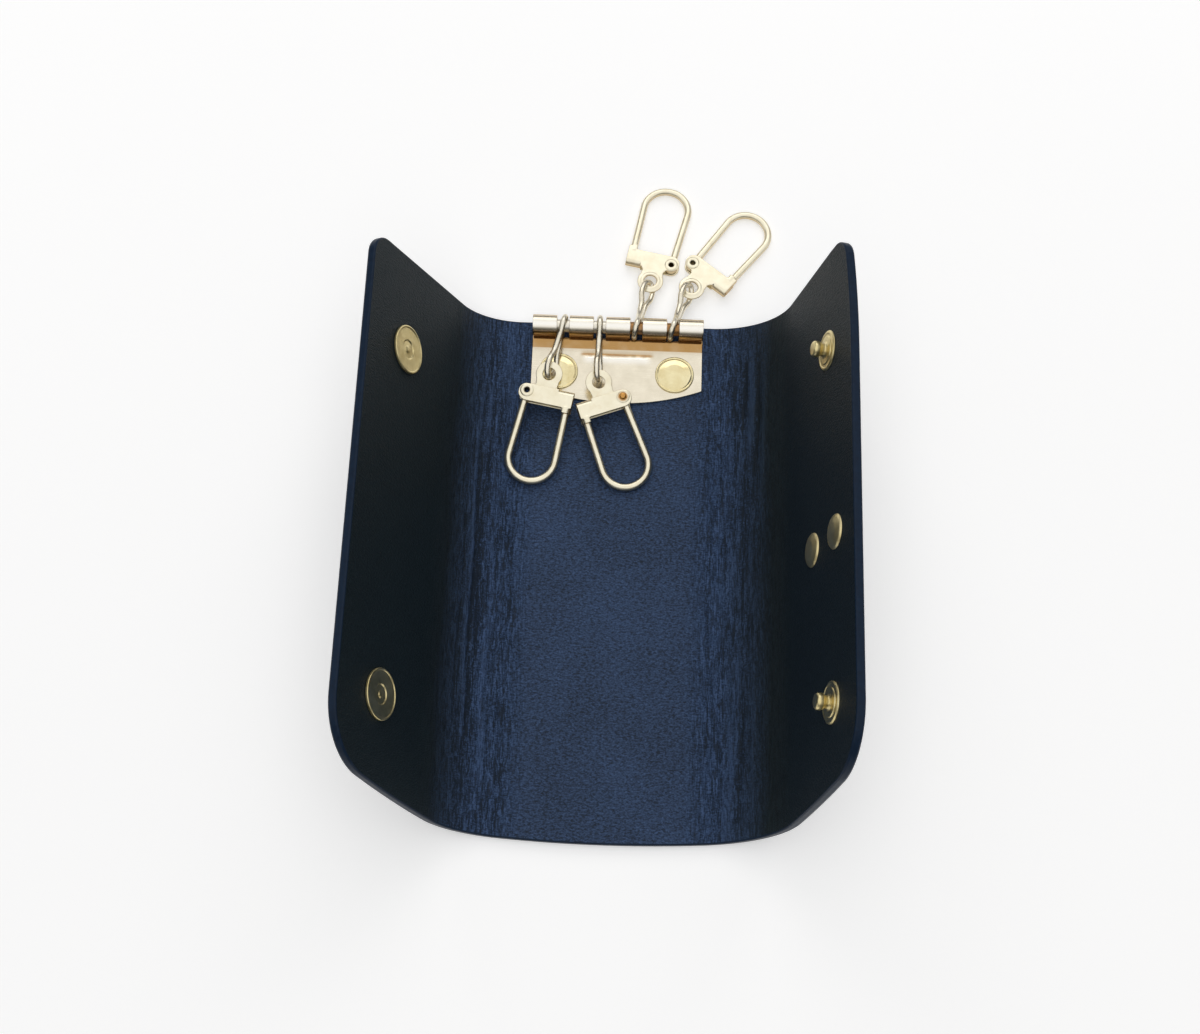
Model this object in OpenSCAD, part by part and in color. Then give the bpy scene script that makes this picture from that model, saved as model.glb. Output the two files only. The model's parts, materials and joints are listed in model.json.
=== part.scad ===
// Three-fold leather key case, lying on its back, half open.
// Frame: X to the right, Y towards the key rack, Z up. The origin is on the
// underside of the centre panel, in line with the middle of the rack.
// Each fold is three narrow strips and four hinge lines, between the centre
// panel and a flap. The hinge lines lie on the outer face of the leather.

/* [Leather] */
// Length of the leather, from the rack edge to the bottom edge
sheet_len = 114.4; // [100:0.1:130]
// Thickness of the outer leather
outer_t = 1; // [0.8:0.05:1.4]
// Thickness of the lining
lining_t = 0.8; // [0.5:0.05:1]
// Width of the centre panel left of the rack's middle
centre_left = 23.5; // [21:0.1:28]
// Width of the centre panel right of the rack's middle
centre_right = 23.8; // [21:0.1:28]
// Width of the left flap, outside its fold
flap_left_w = 37.4; // [32:0.1:42]
// Width of the right flap, outside its fold
flap_right_w = 36.5; // [32:0.1:42]
// Radius of the corners at the rack edge
corner_top_r = 4.6; // [4:0.1:12]
// Radius of the corners at the bottom edge
corner_bottom_r = 13.9; // [8:0.1:18]
// Radius of the curved bottom edge
bottom_curve_r = 305; // [260:1:500]

/* [Folds] */
// Width of each strip of the left fold
strip_left_w = 4.4; // [4.3:0.05:5]
// Angle between the left flap and the table at rest
left_angle = 64.4; // [20:0.1:120]
// Angle between the right flap and the table at rest
right_angle = 76.5; // [20:0.1:120]
// Play at each hinge line
fold_play = 0.04; // [0.02:0.01:0.06]

/* [Snap fasteners] */
// Place across the case where the snaps meet when it is shut
snap_x = -0.4; // [-3:0.1:3]
// Distance of the upper snap from the rack edge
snap_top_in = 20.2; // [16:0.1:24]
// Distance of the lower snap from the bottom edge
snap_bottom_in = 22.7; // [20:0.1:26]
// Diameter of the snap caps
cap_d = 10.1; // [9:0.1:12]
// Thickness of the snap caps
cap_t = 0.6; // [0.4:0.05:0.8]
// Diameter of the dimple in a snap cap
dimple_d = 3.7; // [3:0.1:4]
// Depth of the dimple in a snap cap
dimple_h = 0.2; // [0.1:0.05:0.3]
// Outside diameter of the tube under a socket's cap
tube_d = 4.6; // [4.4:0.1:5]
// Depth to which that tube enters the socket
tube_in = 0.6; // [0.4:0.1:1]
// Diameter of the socket
socket_d = 8.6; // [7.5:0.1:9.5]
// Height of the socket
socket_h = 1.8; // [1.5:0.1:2.2]
// Diameter of the foot of the stud
stud_d = 8.2; // [7.5:0.1:9]
// Height of the foot of the stud
stud_foot_h = 0.6; // [0.5:0.05:0.8]
// Diameter of the knob of the stud
knob_d = 3.3; // [3:0.05:3.5]
// Diameter of the neck of the stud
neck_d = 2.5; // [2.2:0.05:2.8]
// Height of the stud over the leather
stud_h = 3.3; // [3:0.1:3.6]
// Diameter of the post under a stud's cap
post_d = 2; // [1.6:0.1:2.2]
// Depth to which that post enters the stud
post_in = 1.4; // [1:0.1:1.8]
// Clearance round a knob in its socket
knob_play = 0.1; // [0.05:0.01:0.15]

/* [Flap rivets] */
// Diameter of the two rivets in the right flap
flap_rivet_d = 7; // [6:0.1:8]
// Height of their domes
flap_rivet_h = 1; // [0.8:0.05:1.2]
// Diameter of their shanks
flap_rivet_shank_d = 2.6; // [2:0.1:3]
// Distance of the first one from the fold
flap_rivet_in = 15.1; // [13:0.1:18]
// Spacing of the two
flap_rivet_pitch = 12; // [10:0.1:14]
// Distance of both from the middle of the length, towards the bottom
flap_rivet_low = 2; // [-4:0.1:6]

/* [Key rack] */
// Width of the rack
rack_w = 37.4; // [36:0.1:39]
// Thickness of the rack's sheet
rack_t = 0.6; // [0.5:0.05:0.7]
// Distance of the rod from the rack edge of the leather
rod_in = 2.2; // [2:0.05:2.6]
// Outside diameter of the barrels
barrel_d = 4.7; // [4.6:0.05:4.9]
// Diameter of the rod
rod_d = 2.8; // [2.6:0.05:2.85]
// Width of the gaps between the barrels
gap_w = 2.7; // [2.6:0.05:2.9]
// Height by which the sheet is stepped up at the barrels
step_h = 0.8; // [0.7:0.05:0.9]
// Length of the sloping step
step_len = 1.6; // [1.2:0.1:2]
// Distance from the rod to the front of the gaps
notch_in = 1.95; // [1.9:0.01:2]
// Distance from the rod to the top of the step
lip_in = 2.5; // [2.4:0.05:2.8]
// Distance from the rod to the bottom corners of the plate
plate_side_len = 13.4; // [12:0.1:15]
// Further depth of the plate at its middle
plate_bow = 3.5; // [2:0.1:5]
// Width of the raised bar in the plate
bar_w = 16.2; // [12:0.1:18]
// Depth of the raised bar
bar_len = 3.1; // [2.6:0.1:3.6]
// Height of the raised bar
bar_h = 0.3; // [0.2:0.05:0.4]
// Distance from the rod to the raised bar
bar_in = 5; // [4.6:0.1:5.4]
// Diameter of the rack rivets
rivet_d = 8.5; // [8:0.1:9]
// Height of the rack rivets over the plate
rivet_h = 0.75; // [0.6:0.05:0.8]
// Diameter of their shanks
rivet_shank_d = 3; // [2.6:0.1:3.4]
// Spacing of the rack rivets
rivet_pitch = 25.4; // [24:0.1:26]
// Distance from the rod to the rack rivets
rivet_in = 9.8; // [9.6:0.1:10.4]
// Diameter of the washers under the rack rivets
washer_d = 7; // [6:0.1:8]
// Thickness of those washers
washer_t = 0.5; // [0.4:0.05:0.6]

/* [Links] */
// Diameter of the links' wire
link_wire_d = 1; // [0.9:0.02:1.02]
// Clearance of a link round the rod
link_play = 0.1; // [0.08:0.01:0.12]
// Length of a link, from the rod to the wire in the hook's eye
link_len = 12.8; // [12.4:0.1:13.4]
// Inside length of a link's upper ring
ring_len = 4.6; // [4.4:0.1:4.8]
// Outside height of a link's upper ring
ring_h = 4; // [3.9:0.05:4.1]

/* [Hooks] */
// Diameter of the wire of the key loops
bail_wire_d = 1.2; // [1.1:0.05:1.3]
// Outside width of a key loop
bail_w = 11.7; // [11.5:0.1:11.9]
// Length of a key loop below its pivot
bail_len = 20.05; // [19.5:0.05:20.5]
// Distance by which a key loop stands out on its pivot side
bail_out = 0.85; // [0.8:0.05:0.9]
// Distance from the pivot to the free end of the wire
catch_x = 9.1; // [9:0.05:9.2]
// Sheet thickness of a hook's body
hook_t = 0.5; // [0.4:0.02:0.52]
// Gap between the two leaves of a hook's body
hook_gap = 1.3; // [1.28:0.01:1.36]
// Width of a hook's body
hook_w = 12; // [11.8:0.05:12.1]
// Height of a hook's body
hook_h = 3.8; // [3.6:0.05:3.9]
// Distance from the pivot to the near end of the body
hook_end = 1.8; // [1.7:0.05:1.9]
// Distance from the pivot to the upper edge of the body
hook_top = 1.6; // [1.55:0.05:1.7]
// Width of the tab behind the free end of the wire
tab_w = 2; // [1.6:0.05:2.2]
// Height of that tab below the body
tab_h = 1.1; // [0.6:0.05:1.4]
// Outside diameter of a hook's eye
eye_d = 5.8; // [5.7:0.05:5.9]
// Inside diameter of a hook's eye
eye_hole_d = 2.7; // [2.6:0.05:2.8]
// Distance from the pivot to the eye, along the body
eye_x = 3.7; // [3.6:0.05:3.8]
// Distance from the pivot to the eye, away from the loop
eye_y = 5; // [4.9:0.05:5.1]
// Outside diameter of the tube of a pivot rivet
pivot_d = 1.7; // [1.6:0.02:1.74]
// Bore of a pivot rivet
pivot_bore = 1.1; // [0.9:0.05:1.2]
// Diameter of a pivot rivet's rims
pivot_rim_d = 2.9; // [2.6:0.05:3]
// Height of those rims
pivot_rim_h = 0.25; // [0.15:0.01:0.27]

/* [Hidden] */
$fn = 48;

// Overrun of every cut
cut = 0.5;
// Clearance of pins and tubes in their holes, in radius
fit = 0.05;
// Clearance between a socket and the foot of its stud when shut
shut_play = 0.1;
// Facets of the long curve at the bottom edge
long_fn = 720;

leather_t = outer_t + lining_t;
edge_top = sheet_len/2;
edge_bottom = -sheet_len/2;
// A fold of three strips turns through 180 degrees in four equal bends
bends = 4;
strips = bends - 1;
shut_bend = 180/bends;
miter = shut_bend/2;
// Height of a shut fold, as a multiple of its strip's width
turn_share = 1 + sqrt(2);
shut_left_h = strip_left_w*turn_share;
shut_right_h = shut_left_h + socket_h + shut_play + stud_foot_h + leather_t;
strip_right_w = shut_right_h/turn_share;
bend_left = left_angle/bends;
bend_right = right_angle/bends;
reach_left = centre_left + strips*strip_left_w + flap_left_w;
reach_right = centre_right + strips*strip_right_w + flap_right_w;
bow_y = edge_bottom + bottom_curve_r;

socket_s = centre_left + snap_x;
stud_s = centre_right - snap_x;
snap_ys = [edge_top - snap_top_in, edge_bottom + snap_bottom_in];

rod_y = edge_top - rod_in;
rod_z = leather_t + step_h + barrel_d/2;
barrels = 5;
gaps = barrels - 1;
barrel_w = (rack_w - gaps*gap_w)/barrels;
pitch = barrel_w + gap_w;
rod_bore = rod_d + 2*fit;
knob_bore = knob_d + 2*knob_play;
tube_bore = tube_d + 2*fit;
post_bore = post_d + 2*fit;
flap_rivet_bore = flap_rivet_shank_d + 2*fit;
rivet_bore = rivet_shank_d + 2*fit;
washer_bore = washer_d + 2*fit;
pivot_hole = pivot_d + 2*fit;
plate_low_y = rod_y - plate_side_len - plate_bow;
plate_bow_r = (rack_w*rack_w/4 + plate_bow*plate_bow)/(2*plate_bow);
rivet_xs = [-rivet_pitch/2, rivet_pitch/2];
rivet_y = rod_y - rivet_in;

link_r = rod_d/2 + link_play + link_wire_d/2;
ring_r = ring_h/2 - link_wire_d/2;
bail_r = bail_w/2 - bail_wire_d/2;
bail_mid_x = bail_r - bail_out;
bail_mid_y = bail_len - bail_w/2;
leaf_z = hook_gap/2 + hook_t/2;
pivot_disc_d = 2.8;
pivot_disc_h = 1;
seam = 0.01;
seam_len = 0.3;
catch_wall = 0.34;

// Each chain: yaw of its link, pitch of its link, yaw of its hook, pitch of its hook,
// turned over or not, mirrored or not
chains = [
    [-12, 2, -10.5, 8.4, true, false],
    [0, 2, 20.5, 8.4, true, true],
    [-12.5, -10, -11, 2.4, false, true],
    [-16.5, -10, -38, 2.4, false, false]];
// Place of each link's wire in the hook's eye, across and along, as shares of the room there
eye_shares = [[0, 0.7], [0, -0.8], [0, -0.6], [-0.85, 0.2]];
eye_room = (eye_hole_d - link_wire_d)/2;

function total(v, i = 0) = i < len(v) ? v[i] + total(v, i + 1) : 0;
function hinge_x(w, strip, bend, k) = w + strip*total([for (j = [1:1:k - 1]) cos(j*bend)]);
function hinge_z(strip, bend, k) = strip*total([for (j = [1:1:k - 1]) sin(j*bend)]);

// One half of the flat leather, from the middle line outwards
module half_outline(reach) {
    r = corner_bottom_r;
    top_r = corner_top_r;
    fillet_x = reach - r;
    fillet_y = bow_y - sqrt(pow(bottom_curve_r - r, 2) - pow(fillet_x, 2));
    ray = [fillet_x, fillet_y - bow_y]/norm([fillet_x, fillet_y - bow_y]);
    foot = [fillet_x, fillet_y] + ray*2*r;
    difference() {
        intersection() {
            translate([0, edge_bottom]) square([reach, sheet_len]);
            translate([0, bow_y]) circle(bottom_curve_r, $fn = long_fn);
        }
        polygon([[fillet_x, fillet_y], foot, [reach + r, foot.y], [reach + r, fillet_y]]);
        translate([reach - top_r, edge_top - top_r]) square([top_r + cut, top_r + cut]);
    }
    translate([fillet_x, fillet_y]) circle(r);
    translate([reach - top_r, edge_top - top_r]) circle(top_r);
}

// Leather between two heights of a panel, with its inner edges cut back at its hinge lines
module layer(reach, start, width, low, high, last = false) {
    lean = tan(miter);
    end = last ? width + cut : width - fold_play;
    back = last ? 0 : lean;
    intersection() {
        rotate([90, 0, 0]) translate([0, 0, -sheet_len]) linear_extrude(2*sheet_len)
            polygon([[fold_play + low*lean, low], [end - low*back, low],
                [end - high*back, high], [fold_play + high*lean, high]]);
        translate([-start, 0, low]) linear_extrude(high - low) half_outline(reach);
    }
}

module centre_layer(low, high) {
    lean = tan(miter);
    left = fold_play - centre_left;
    right = centre_right - fold_play;
    intersection() {
        rotate([90, 0, 0]) translate([0, 0, -sheet_len]) linear_extrude(2*sheet_len)
            polygon([[left + low*lean, low], [right - low*lean, low],
                [right - high*lean, high], [left + high*lean, high]]);
        translate([0, 0, low]) linear_extrude(high - low) union() {
            half_outline(reach_right);
            mirror([1, 0, 0]) half_outline(reach_left);
        }
    }
}

// Frame of panel k of a fold: 1 to 3 are its strips and 4 is the flap
module on_right(k) {
    x = hinge_x(centre_right, strip_right_w, bend_right, k);
    translate([x, 0, hinge_z(strip_right_w, bend_right, k)]) rotate([0, -k*bend_right, 0]) children();
}

module on_left(k) {
    x = hinge_x(centre_left, strip_left_w, bend_left, k);
    mirror([1, 0, 0]) translate([x, 0, hinge_z(strip_left_w, bend_left, k)])
        rotate([0, -k*bend_left, 0]) children();
}

module right_layer(k, low, high) {
    on_right(k) layer(reach_right, centre_right + (k - 1)*strip_right_w, strip_right_w, low, high);
}

module left_layer(k, low, high) {
    on_left(k) layer(reach_left, centre_left + (k - 1)*strip_left_w, strip_left_w, low, high);
}

module left_strip_outer(k) {
    color("#1c212b") left_layer(k, 0, outer_t);
}

module left_strip_lining(k) {
    color("#262e4c") left_layer(k, outer_t, leather_t);
}

module right_strip_outer(k) {
    color("#1c212b") right_layer(k, 0, outer_t);
}

module right_strip_lining(k) {
    color("#262e4c") right_layer(k, outer_t, leather_t);
}

module right_flap(low, high) {
    on_right(bends) difference() {
        layer(reach_right, reach_right - flap_right_w, flap_right_w, low, high, true);
        for (y = snap_ys) translate([stud_s, y, low - cut])
            cylinder(d = post_bore, h = leather_t + 2*cut);
        for (i = [0, 1]) translate([flap_rivet_in + i*flap_rivet_pitch, -flap_rivet_low, low - cut])
            cylinder(d = flap_rivet_bore, h = leather_t + 2*cut);
    }
}

module left_flap(low, high) {
    on_left(bends) difference() {
        layer(reach_left, reach_left - flap_left_w, flap_left_w, low, high, true);
        for (y = snap_ys) translate([socket_s, y, low - cut])
            cylinder(d = tube_bore, h = leather_t + 2*cut);
    }
}

module left_flap_outer() {
    color("#1c212b") left_flap(0, outer_t);
}

module left_flap_lining() {
    color("#222943") left_flap(outer_t, leather_t);
}

module right_flap_outer() {
    color("#1c212b") right_flap(0, outer_t);
}

module right_flap_lining() {
    color("#222943") right_flap(outer_t, leather_t);
}

module centre_outer() {
    color("#1f2530") difference() {
        centre_layer(0, outer_t);
        for (x = rivet_xs) translate([x, rivet_y, outer_t - washer_t])
            cylinder(d = washer_bore, h = outer_t);
    }
}

module centre_lining() {
    color("#2a3352") difference() {
        centre_layer(outer_t, leather_t);
        for (x = rivet_xs) translate([x, rivet_y, 0]) cylinder(d = rivet_bore, h = leather_t + cut);
    }
}

// Flat cap with a rolled rim and a dimple; its top faces up
module cap_disc(d) {
    rotate_extrude() difference() {
        union() {
            square([d/2 - cap_t/2, cap_t]);
            translate([d/2 - cap_t/2, cap_t/2]) circle(cap_t/2);
        }
        translate([0, cap_t - dimple_h]) square([dimple_d/2, cap_t]);
        translate([-d, 0]) square([d, cap_t]);
    }
}

module socket_cap(i) {
    color("#b9a56a") on_left(bends) translate([socket_s, snap_ys[i], 0]) {
        translate([0, 0, leather_t]) cap_disc(cap_d);
        difference() {
            translate([0, 0, -tube_in]) cylinder(d = tube_d, h = leather_t + tube_in);
            translate([0, 0, -tube_in - cut]) cylinder(d = knob_bore, h = leather_t + tube_in + cut);
        }
    }
}

module socket(i) {
    color("#b9a56a") on_left(bends) translate([socket_s, snap_ys[i], -socket_h]) difference() {
        cylinder(d = socket_d, h = socket_h);
        translate([0, 0, -cut]) cylinder(d = knob_bore, h = socket_h + 2*cut);
        translate([0, 0, socket_h - tube_in]) cylinder(d = tube_bore, h = socket_h);
    }
}

// Press stud standing up from the leather, with a stepped foot, a neck and a round knob
module stud(i) {
    step_r = stud_d/2 - stud_foot_h;
    color("#b3a588") on_right(bends) translate([stud_s, snap_ys[i], leather_t]) difference() {
        rotate_extrude() union() {
            square([stud_d/2, stud_foot_h/2]);
            square([step_r, stud_foot_h]);
            square([neck_d/2, stud_h - knob_d/2]);
            intersection() {
                translate([0, stud_h - knob_d/2]) circle(knob_d/2);
                translate([0, stud_h - knob_d]) square([knob_d, knob_d]);
            }
        }
        translate([0, 0, -cut]) cylinder(d = post_bore, h = post_in + cut);
    }
}

module stud_cap(i) {
    color("#b9a56a") on_right(bends) translate([stud_s, snap_ys[i], 0]) {
        mirror([0, 0, 1]) cap_disc(cap_d);
        translate([0, 0, -cap_t/2]) cylinder(d = post_d, h = cap_t/2 + leather_t + post_in);
    }
}

// Shallow dome of height h on a flat face, with its middle at the origin
module dome(d, h) {
    ball_r = (d*d/4 + h*h)/(2*h);
    rotate_extrude() intersection() {
        translate([0, h - ball_r]) circle(ball_r, $fn = 2*$fn);
        square([d/2, h]);
    }
}

module flap_rivets() {
    color("#c7b98f") on_right(bends) for (i = [0, 1])
        translate([flap_rivet_in + i*flap_rivet_pitch, -flap_rivet_low, 0]) {
            translate([0, 0, leather_t]) dome(flap_rivet_d, flap_rivet_h);
            translate([0, 0, -flap_rivet_h/2])
                cylinder(d = flap_rivet_shank_d, h = leather_t + flap_rivet_h/2);
        }
}

module flap_rivet_caps() {
    color("#b9a56a") on_right(bends) for (i = [0, 1])
        translate([flap_rivet_in + i*flap_rivet_pitch, -flap_rivet_low, 0]) mirror([0, 0, 1]) difference() {
            dome(flap_rivet_d, flap_rivet_h);
            translate([0, 0, -cut]) cylinder(d = flap_rivet_bore, h = flap_rivet_h/2 + cut);
        }
}

// Sheet with a bowed lower edge, a step up and five barrels rolled round the rod
module rack_plate() {
    step_y = rod_y - lip_in;
    flat_y = step_y - step_len;
    top = leather_t + rack_t;
    color("#d9cba6") difference() {
        union() {
            translate([0, 0, leather_t]) linear_extrude(rack_t) intersection() {
                translate([-rack_w/2, plate_low_y]) square([rack_w, flat_y - plate_low_y]);
                translate([0, plate_low_y + plate_bow_r]) circle(plate_bow_r, $fn = 4*$fn);
            }
            rotate([90, 0, 90]) translate([0, 0, -rack_w/2]) linear_extrude(rack_w)
                polygon([[flat_y, leather_t], [step_y, leather_t + step_h], [rod_y, leather_t + step_h],
                    [rod_y, top + step_h], [step_y, top + step_h], [flat_y, top]]);
            translate([-rack_w/2, rod_y, rod_z]) rotate([0, 90, 0]) cylinder(d = barrel_d, h = rack_w);
            translate([-bar_w/2, rod_y - bar_in - bar_len, top - rack_t/2])
                cube([bar_w, bar_len, rack_t/2 + bar_h]);
        }
        translate([-rack_w/2 - cut, rod_y, rod_z]) rotate([0, 90, 0])
            cylinder(d = rod_bore, h = rack_w + 2*cut);
        for (i = [0:gaps - 1]) translate([gap_left(i), rod_y - notch_in, 0])
            cube([gap_w, barrel_d + notch_in, rod_z + barrel_d]);
        for (i = [0:gaps - 1]) translate([gap_left(i), rod_y - barrel_d, top + step_h])
            cube([gap_w, 2*barrel_d, barrel_d + cut]);
        for (x = rivet_xs) translate([x, rivet_y, 0]) cylinder(d = rivet_bore, h = rod_z);
    }
}

function gap_left(i) = -rack_w/2 + barrel_w + i*pitch;
function gap_x(i) = gap_left(i) + gap_w/2;

module rack_rod() {
    color("#8a5a33") translate([-rack_w/2, rod_y, rod_z]) rotate([0, 90, 0])
        cylinder(d = rod_d, h = rack_w);
}

// Flat-topped domed rivets, through the plate and the lining
module rack_rivets() {
    color("#c9b06a") for (x = rivet_xs) translate([x, rivet_y, 0]) {
        translate([0, 0, leather_t + rack_t]) dome(rivet_d, rivet_h);
        translate([0, 0, outer_t - washer_t]) cylinder(d = rivet_shank_d, h = washer_t + lining_t + rack_t);
    }
}

module rack_washers() {
    color("#a89a76") for (x = rivet_xs) translate([x, rivet_y, outer_t - washer_t]) difference() {
        cylinder(d = washer_d, h = washer_t);
        translate([0, 0, -cut]) cylinder(d = rivet_bore, h = washer_t + 2*cut);
    }
}

// Round wire between two points
module wire(a, b, d) {
    run = b - a;
    turn = atan2(run.y, run.x);
    lean = atan2(norm([run.x, run.y]), run.z);
    translate(a) rotate([0, lean, turn]) cylinder(d = d, h = norm(run));
}

// Frame of a link: the rod is the X axis and the link runs along +Y
module at_link(i) {
    c = chains[i];
    translate([gap_x(i), rod_y, rod_z]) rotate([0, 0, c[0] + (c[4] ? 180 : 0)])
        rotate([c[1], 0, 0]) children();
}

// Frame of a hook's body: the pivot is the origin, the loop runs along +Y
module at_hook(i) {
    c = chains[i];
    flip = c[4] ? 180 : 0;
    strand = eye_room*eye_shares[i];
    at_link(i) translate([0, link_len, 0]) rotate([-c[1], 0, 0]) rotate([0, 0, -c[0] - flip])
        rotate([0, 0, c[2]]) rotate([flip + (c[4] ? c[3] : -c[3]), 0, 0])
            translate([0, 0, -leaf_z]) mirror([c[5] ? 1 : 0, 0, 0])
                translate([-eye_x - strand.x, eye_y - strand.y, 0]) children();
}

// Figure-of-eight link: a ring round the rod, a neck and a ring for the hook's eye
module link(i) {
    neck_end = link_len - ring_len - link_wire_d;
    side = neck_end + ring_r;
    color("#d6c9a8") at_link(i) {
        rotate([0, 90, 0]) rotate_extrude() translate([link_r, 0]) circle(d = link_wire_d, $fn = 24);
        for (z = [-link_wire_d/3, link_wire_d/3])
            wire([0, link_r, z], [0, neck_end + link_wire_d/2, z], link_wire_d, $fn = 24);
        translate([0, link_len - ring_r, 0]) rotate([90, 0, 90]) rotate([0, 0, -90])
            rotate_extrude(angle = 180) translate([ring_r, 0]) circle(d = link_wire_d, $fn = 24);
        translate([0, side, 0]) rotate([90, 0, 90]) rotate([0, 0, 90])
            rotate_extrude(angle = 180) translate([ring_r, 0]) circle(d = link_wire_d, $fn = 24);
        for (z = [-ring_r, ring_r]) wire([0, side, z], [0, link_len - ring_r, z], link_wire_d, $fn = 24);
    }
}

// Body of a hook: a back leaf with the eye, folded over at the top and at the catch
module hook(i) {
    right = hook_w - hook_end;
    low = hook_h - hook_top;
    color("#dccfae") at_hook(i) difference() {
        union() {
            translate([0, 0, hook_gap/2]) linear_extrude(hook_t) union() {
                leaf(right, low);
                translate([eye_x, -eye_y]) circle(d = eye_d);
                translate([eye_x - eye_d/4, -eye_y]) square([eye_d/2, eye_y]);
                translate([right - tab_w, 0]) square([tab_w, low + tab_h]);
            }
            translate([0, 0, -hook_gap/2 - hook_t]) linear_extrude(hook_t) leaf(right, low);
            translate([right - catch_wall, -hook_top, -hook_gap/2 - hook_t/2])
                cube([catch_wall, hook_h, hook_gap + hook_t]);
            translate([eye_x + eye_d/2, -hook_top, -hook_gap/2 - hook_t/2])
                cube([right - eye_x - eye_d/2, hook_t, hook_gap + hook_t]);
        }
        translate([0, 0, -leaf_z - hook_t]) cylinder(d = pivot_hole, h = 2*leaf_z + 2*hook_t);
        translate([eye_x, -eye_y, 0]) cylinder(d = eye_hole_d, h = leaf_z + hook_t);
    }
}

module leaf(right, low) {
    r = hook_end;
    translate([0, low - r]) circle(r);
    translate([0, r - hook_top]) circle(r);
    translate([-r, r - hook_top]) square([r, hook_h - 2*r]);
    translate([0, -hook_top]) square([right, hook_h]);
}

module pivot(i) {
    half = leaf_z + hook_t/2;
    domed = i == 1 || i == 2;
    color("#c9b98c") at_hook(i) difference() {
        union() {
            translate([0, 0, -half]) cylinder(d = pivot_d, h = 2*half);
            translate([0, 0, half]) cylinder(d = pivot_rim_d, h = pivot_rim_h);
            translate([0, 0, -half - pivot_rim_h]) cylinder(d = pivot_rim_d, h = pivot_rim_h);
        }
        translate([0, 0, domed ? -half : -half - pivot_rim_h - cut])
            cylinder(d = pivot_bore, h = 2*half + 2*pivot_rim_h + 2*cut);
    }
}

// Key loop: a wire with a flat eye on the pivot, two straight legs and a round end
// that they meet without a kink, and a free end in the catch
module bail(i) {
    mid = [bail_mid_x, bail_mid_y];
    free = [catch_x, -bail_wire_d/2];
    span_left = norm(mid);
    span_right = norm(mid - free);
    turn_left = atan2(-mid.y, -mid.x) - acos(bail_r/span_left);
    turn_right = atan2(free.y - mid.y, free.x - mid.x) + acos(bail_r/span_right);
    left = mid + bail_r*[cos(turn_left), sin(turn_left)];
    right = mid + bail_r*[cos(turn_right), sin(turn_right)];
    left_end = left*(1 + seam_len/norm(left));
    right_end = right + (right - free)*seam_len/norm(right - free);
    color("#ddd0b2") at_hook(i) {
        difference() {
            translate([0, 0, -pivot_disc_h/2]) cylinder(d = pivot_disc_d, h = pivot_disc_h);
            translate([0, 0, -hook_gap]) cylinder(d = pivot_hole, h = 2*hook_gap);
        }
        difference() {
            wire([0, 0, 0], [left_end.x, left_end.y, 0], bail_wire_d);
            translate([0, 0, -hook_gap]) cylinder(d = pivot_disc_d - 2*fit, h = 2*hook_gap);
        }
        wire([free.x, free.y, 0], [right_end.x, right_end.y, 0], bail_wire_d);
        translate([mid.x, mid.y, 0]) rotate([0, 0, turn_right])
            rotate_extrude(angle = 360 + turn_left - turn_right, $fn = 2*$fn)
                translate([bail_r, 0]) circle(d = bail_wire_d + 2*seam);
    }
}

centre_outer();
centre_lining();
left_strip_outer(1);  // left_strip1_outer
left_strip_lining(1);  // left_strip1_lining
left_strip_outer(2);  // left_strip2_outer
left_strip_lining(2);  // left_strip2_lining
left_strip_outer(3);  // left_strip3_outer
left_strip_lining(3);  // left_strip3_lining
left_flap_outer();
left_flap_lining();
right_strip_outer(1);  // right_strip1_outer
right_strip_lining(1);  // right_strip1_lining
right_strip_outer(2);  // right_strip2_outer
right_strip_lining(2);  // right_strip2_lining
right_strip_outer(3);  // right_strip3_outer
right_strip_lining(3);  // right_strip3_lining
right_flap_outer();
right_flap_lining();
socket_cap(0);  // socket_cap_upper
socket_cap(1);  // socket_cap_lower
socket(0);  // socket_upper
socket(1);  // socket_lower
stud(0);  // stud_upper
stud(1);  // stud_lower
stud_cap(0);  // stud_cap_upper
stud_cap(1);  // stud_cap_lower
flap_rivets();
flap_rivet_caps();
rack_plate();
rack_rod();
rack_rivets();
rack_washers();
link(0);  // link_1
link(1);  // link_2
link(2);  // link_3
link(3);  // link_4
hook(0);  // hook_1
hook(1);  // hook_2
hook(2);  // hook_3
hook(3);  // hook_4
pivot(0);  // pivot_1
pivot(1);  // pivot_2
pivot(2);  // pivot_3
pivot(3);  // pivot_4
bail(0);  // bail_1
bail(1);  // bail_2
bail(2);  // bail_3
bail(3);  // bail_4
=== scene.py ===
import bpy, bmesh, json
import numpy as np
from math import acos, atan2, ceil, cos, pi, radians, sin, sqrt, tan
from mathutils import Vector, Matrix

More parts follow.
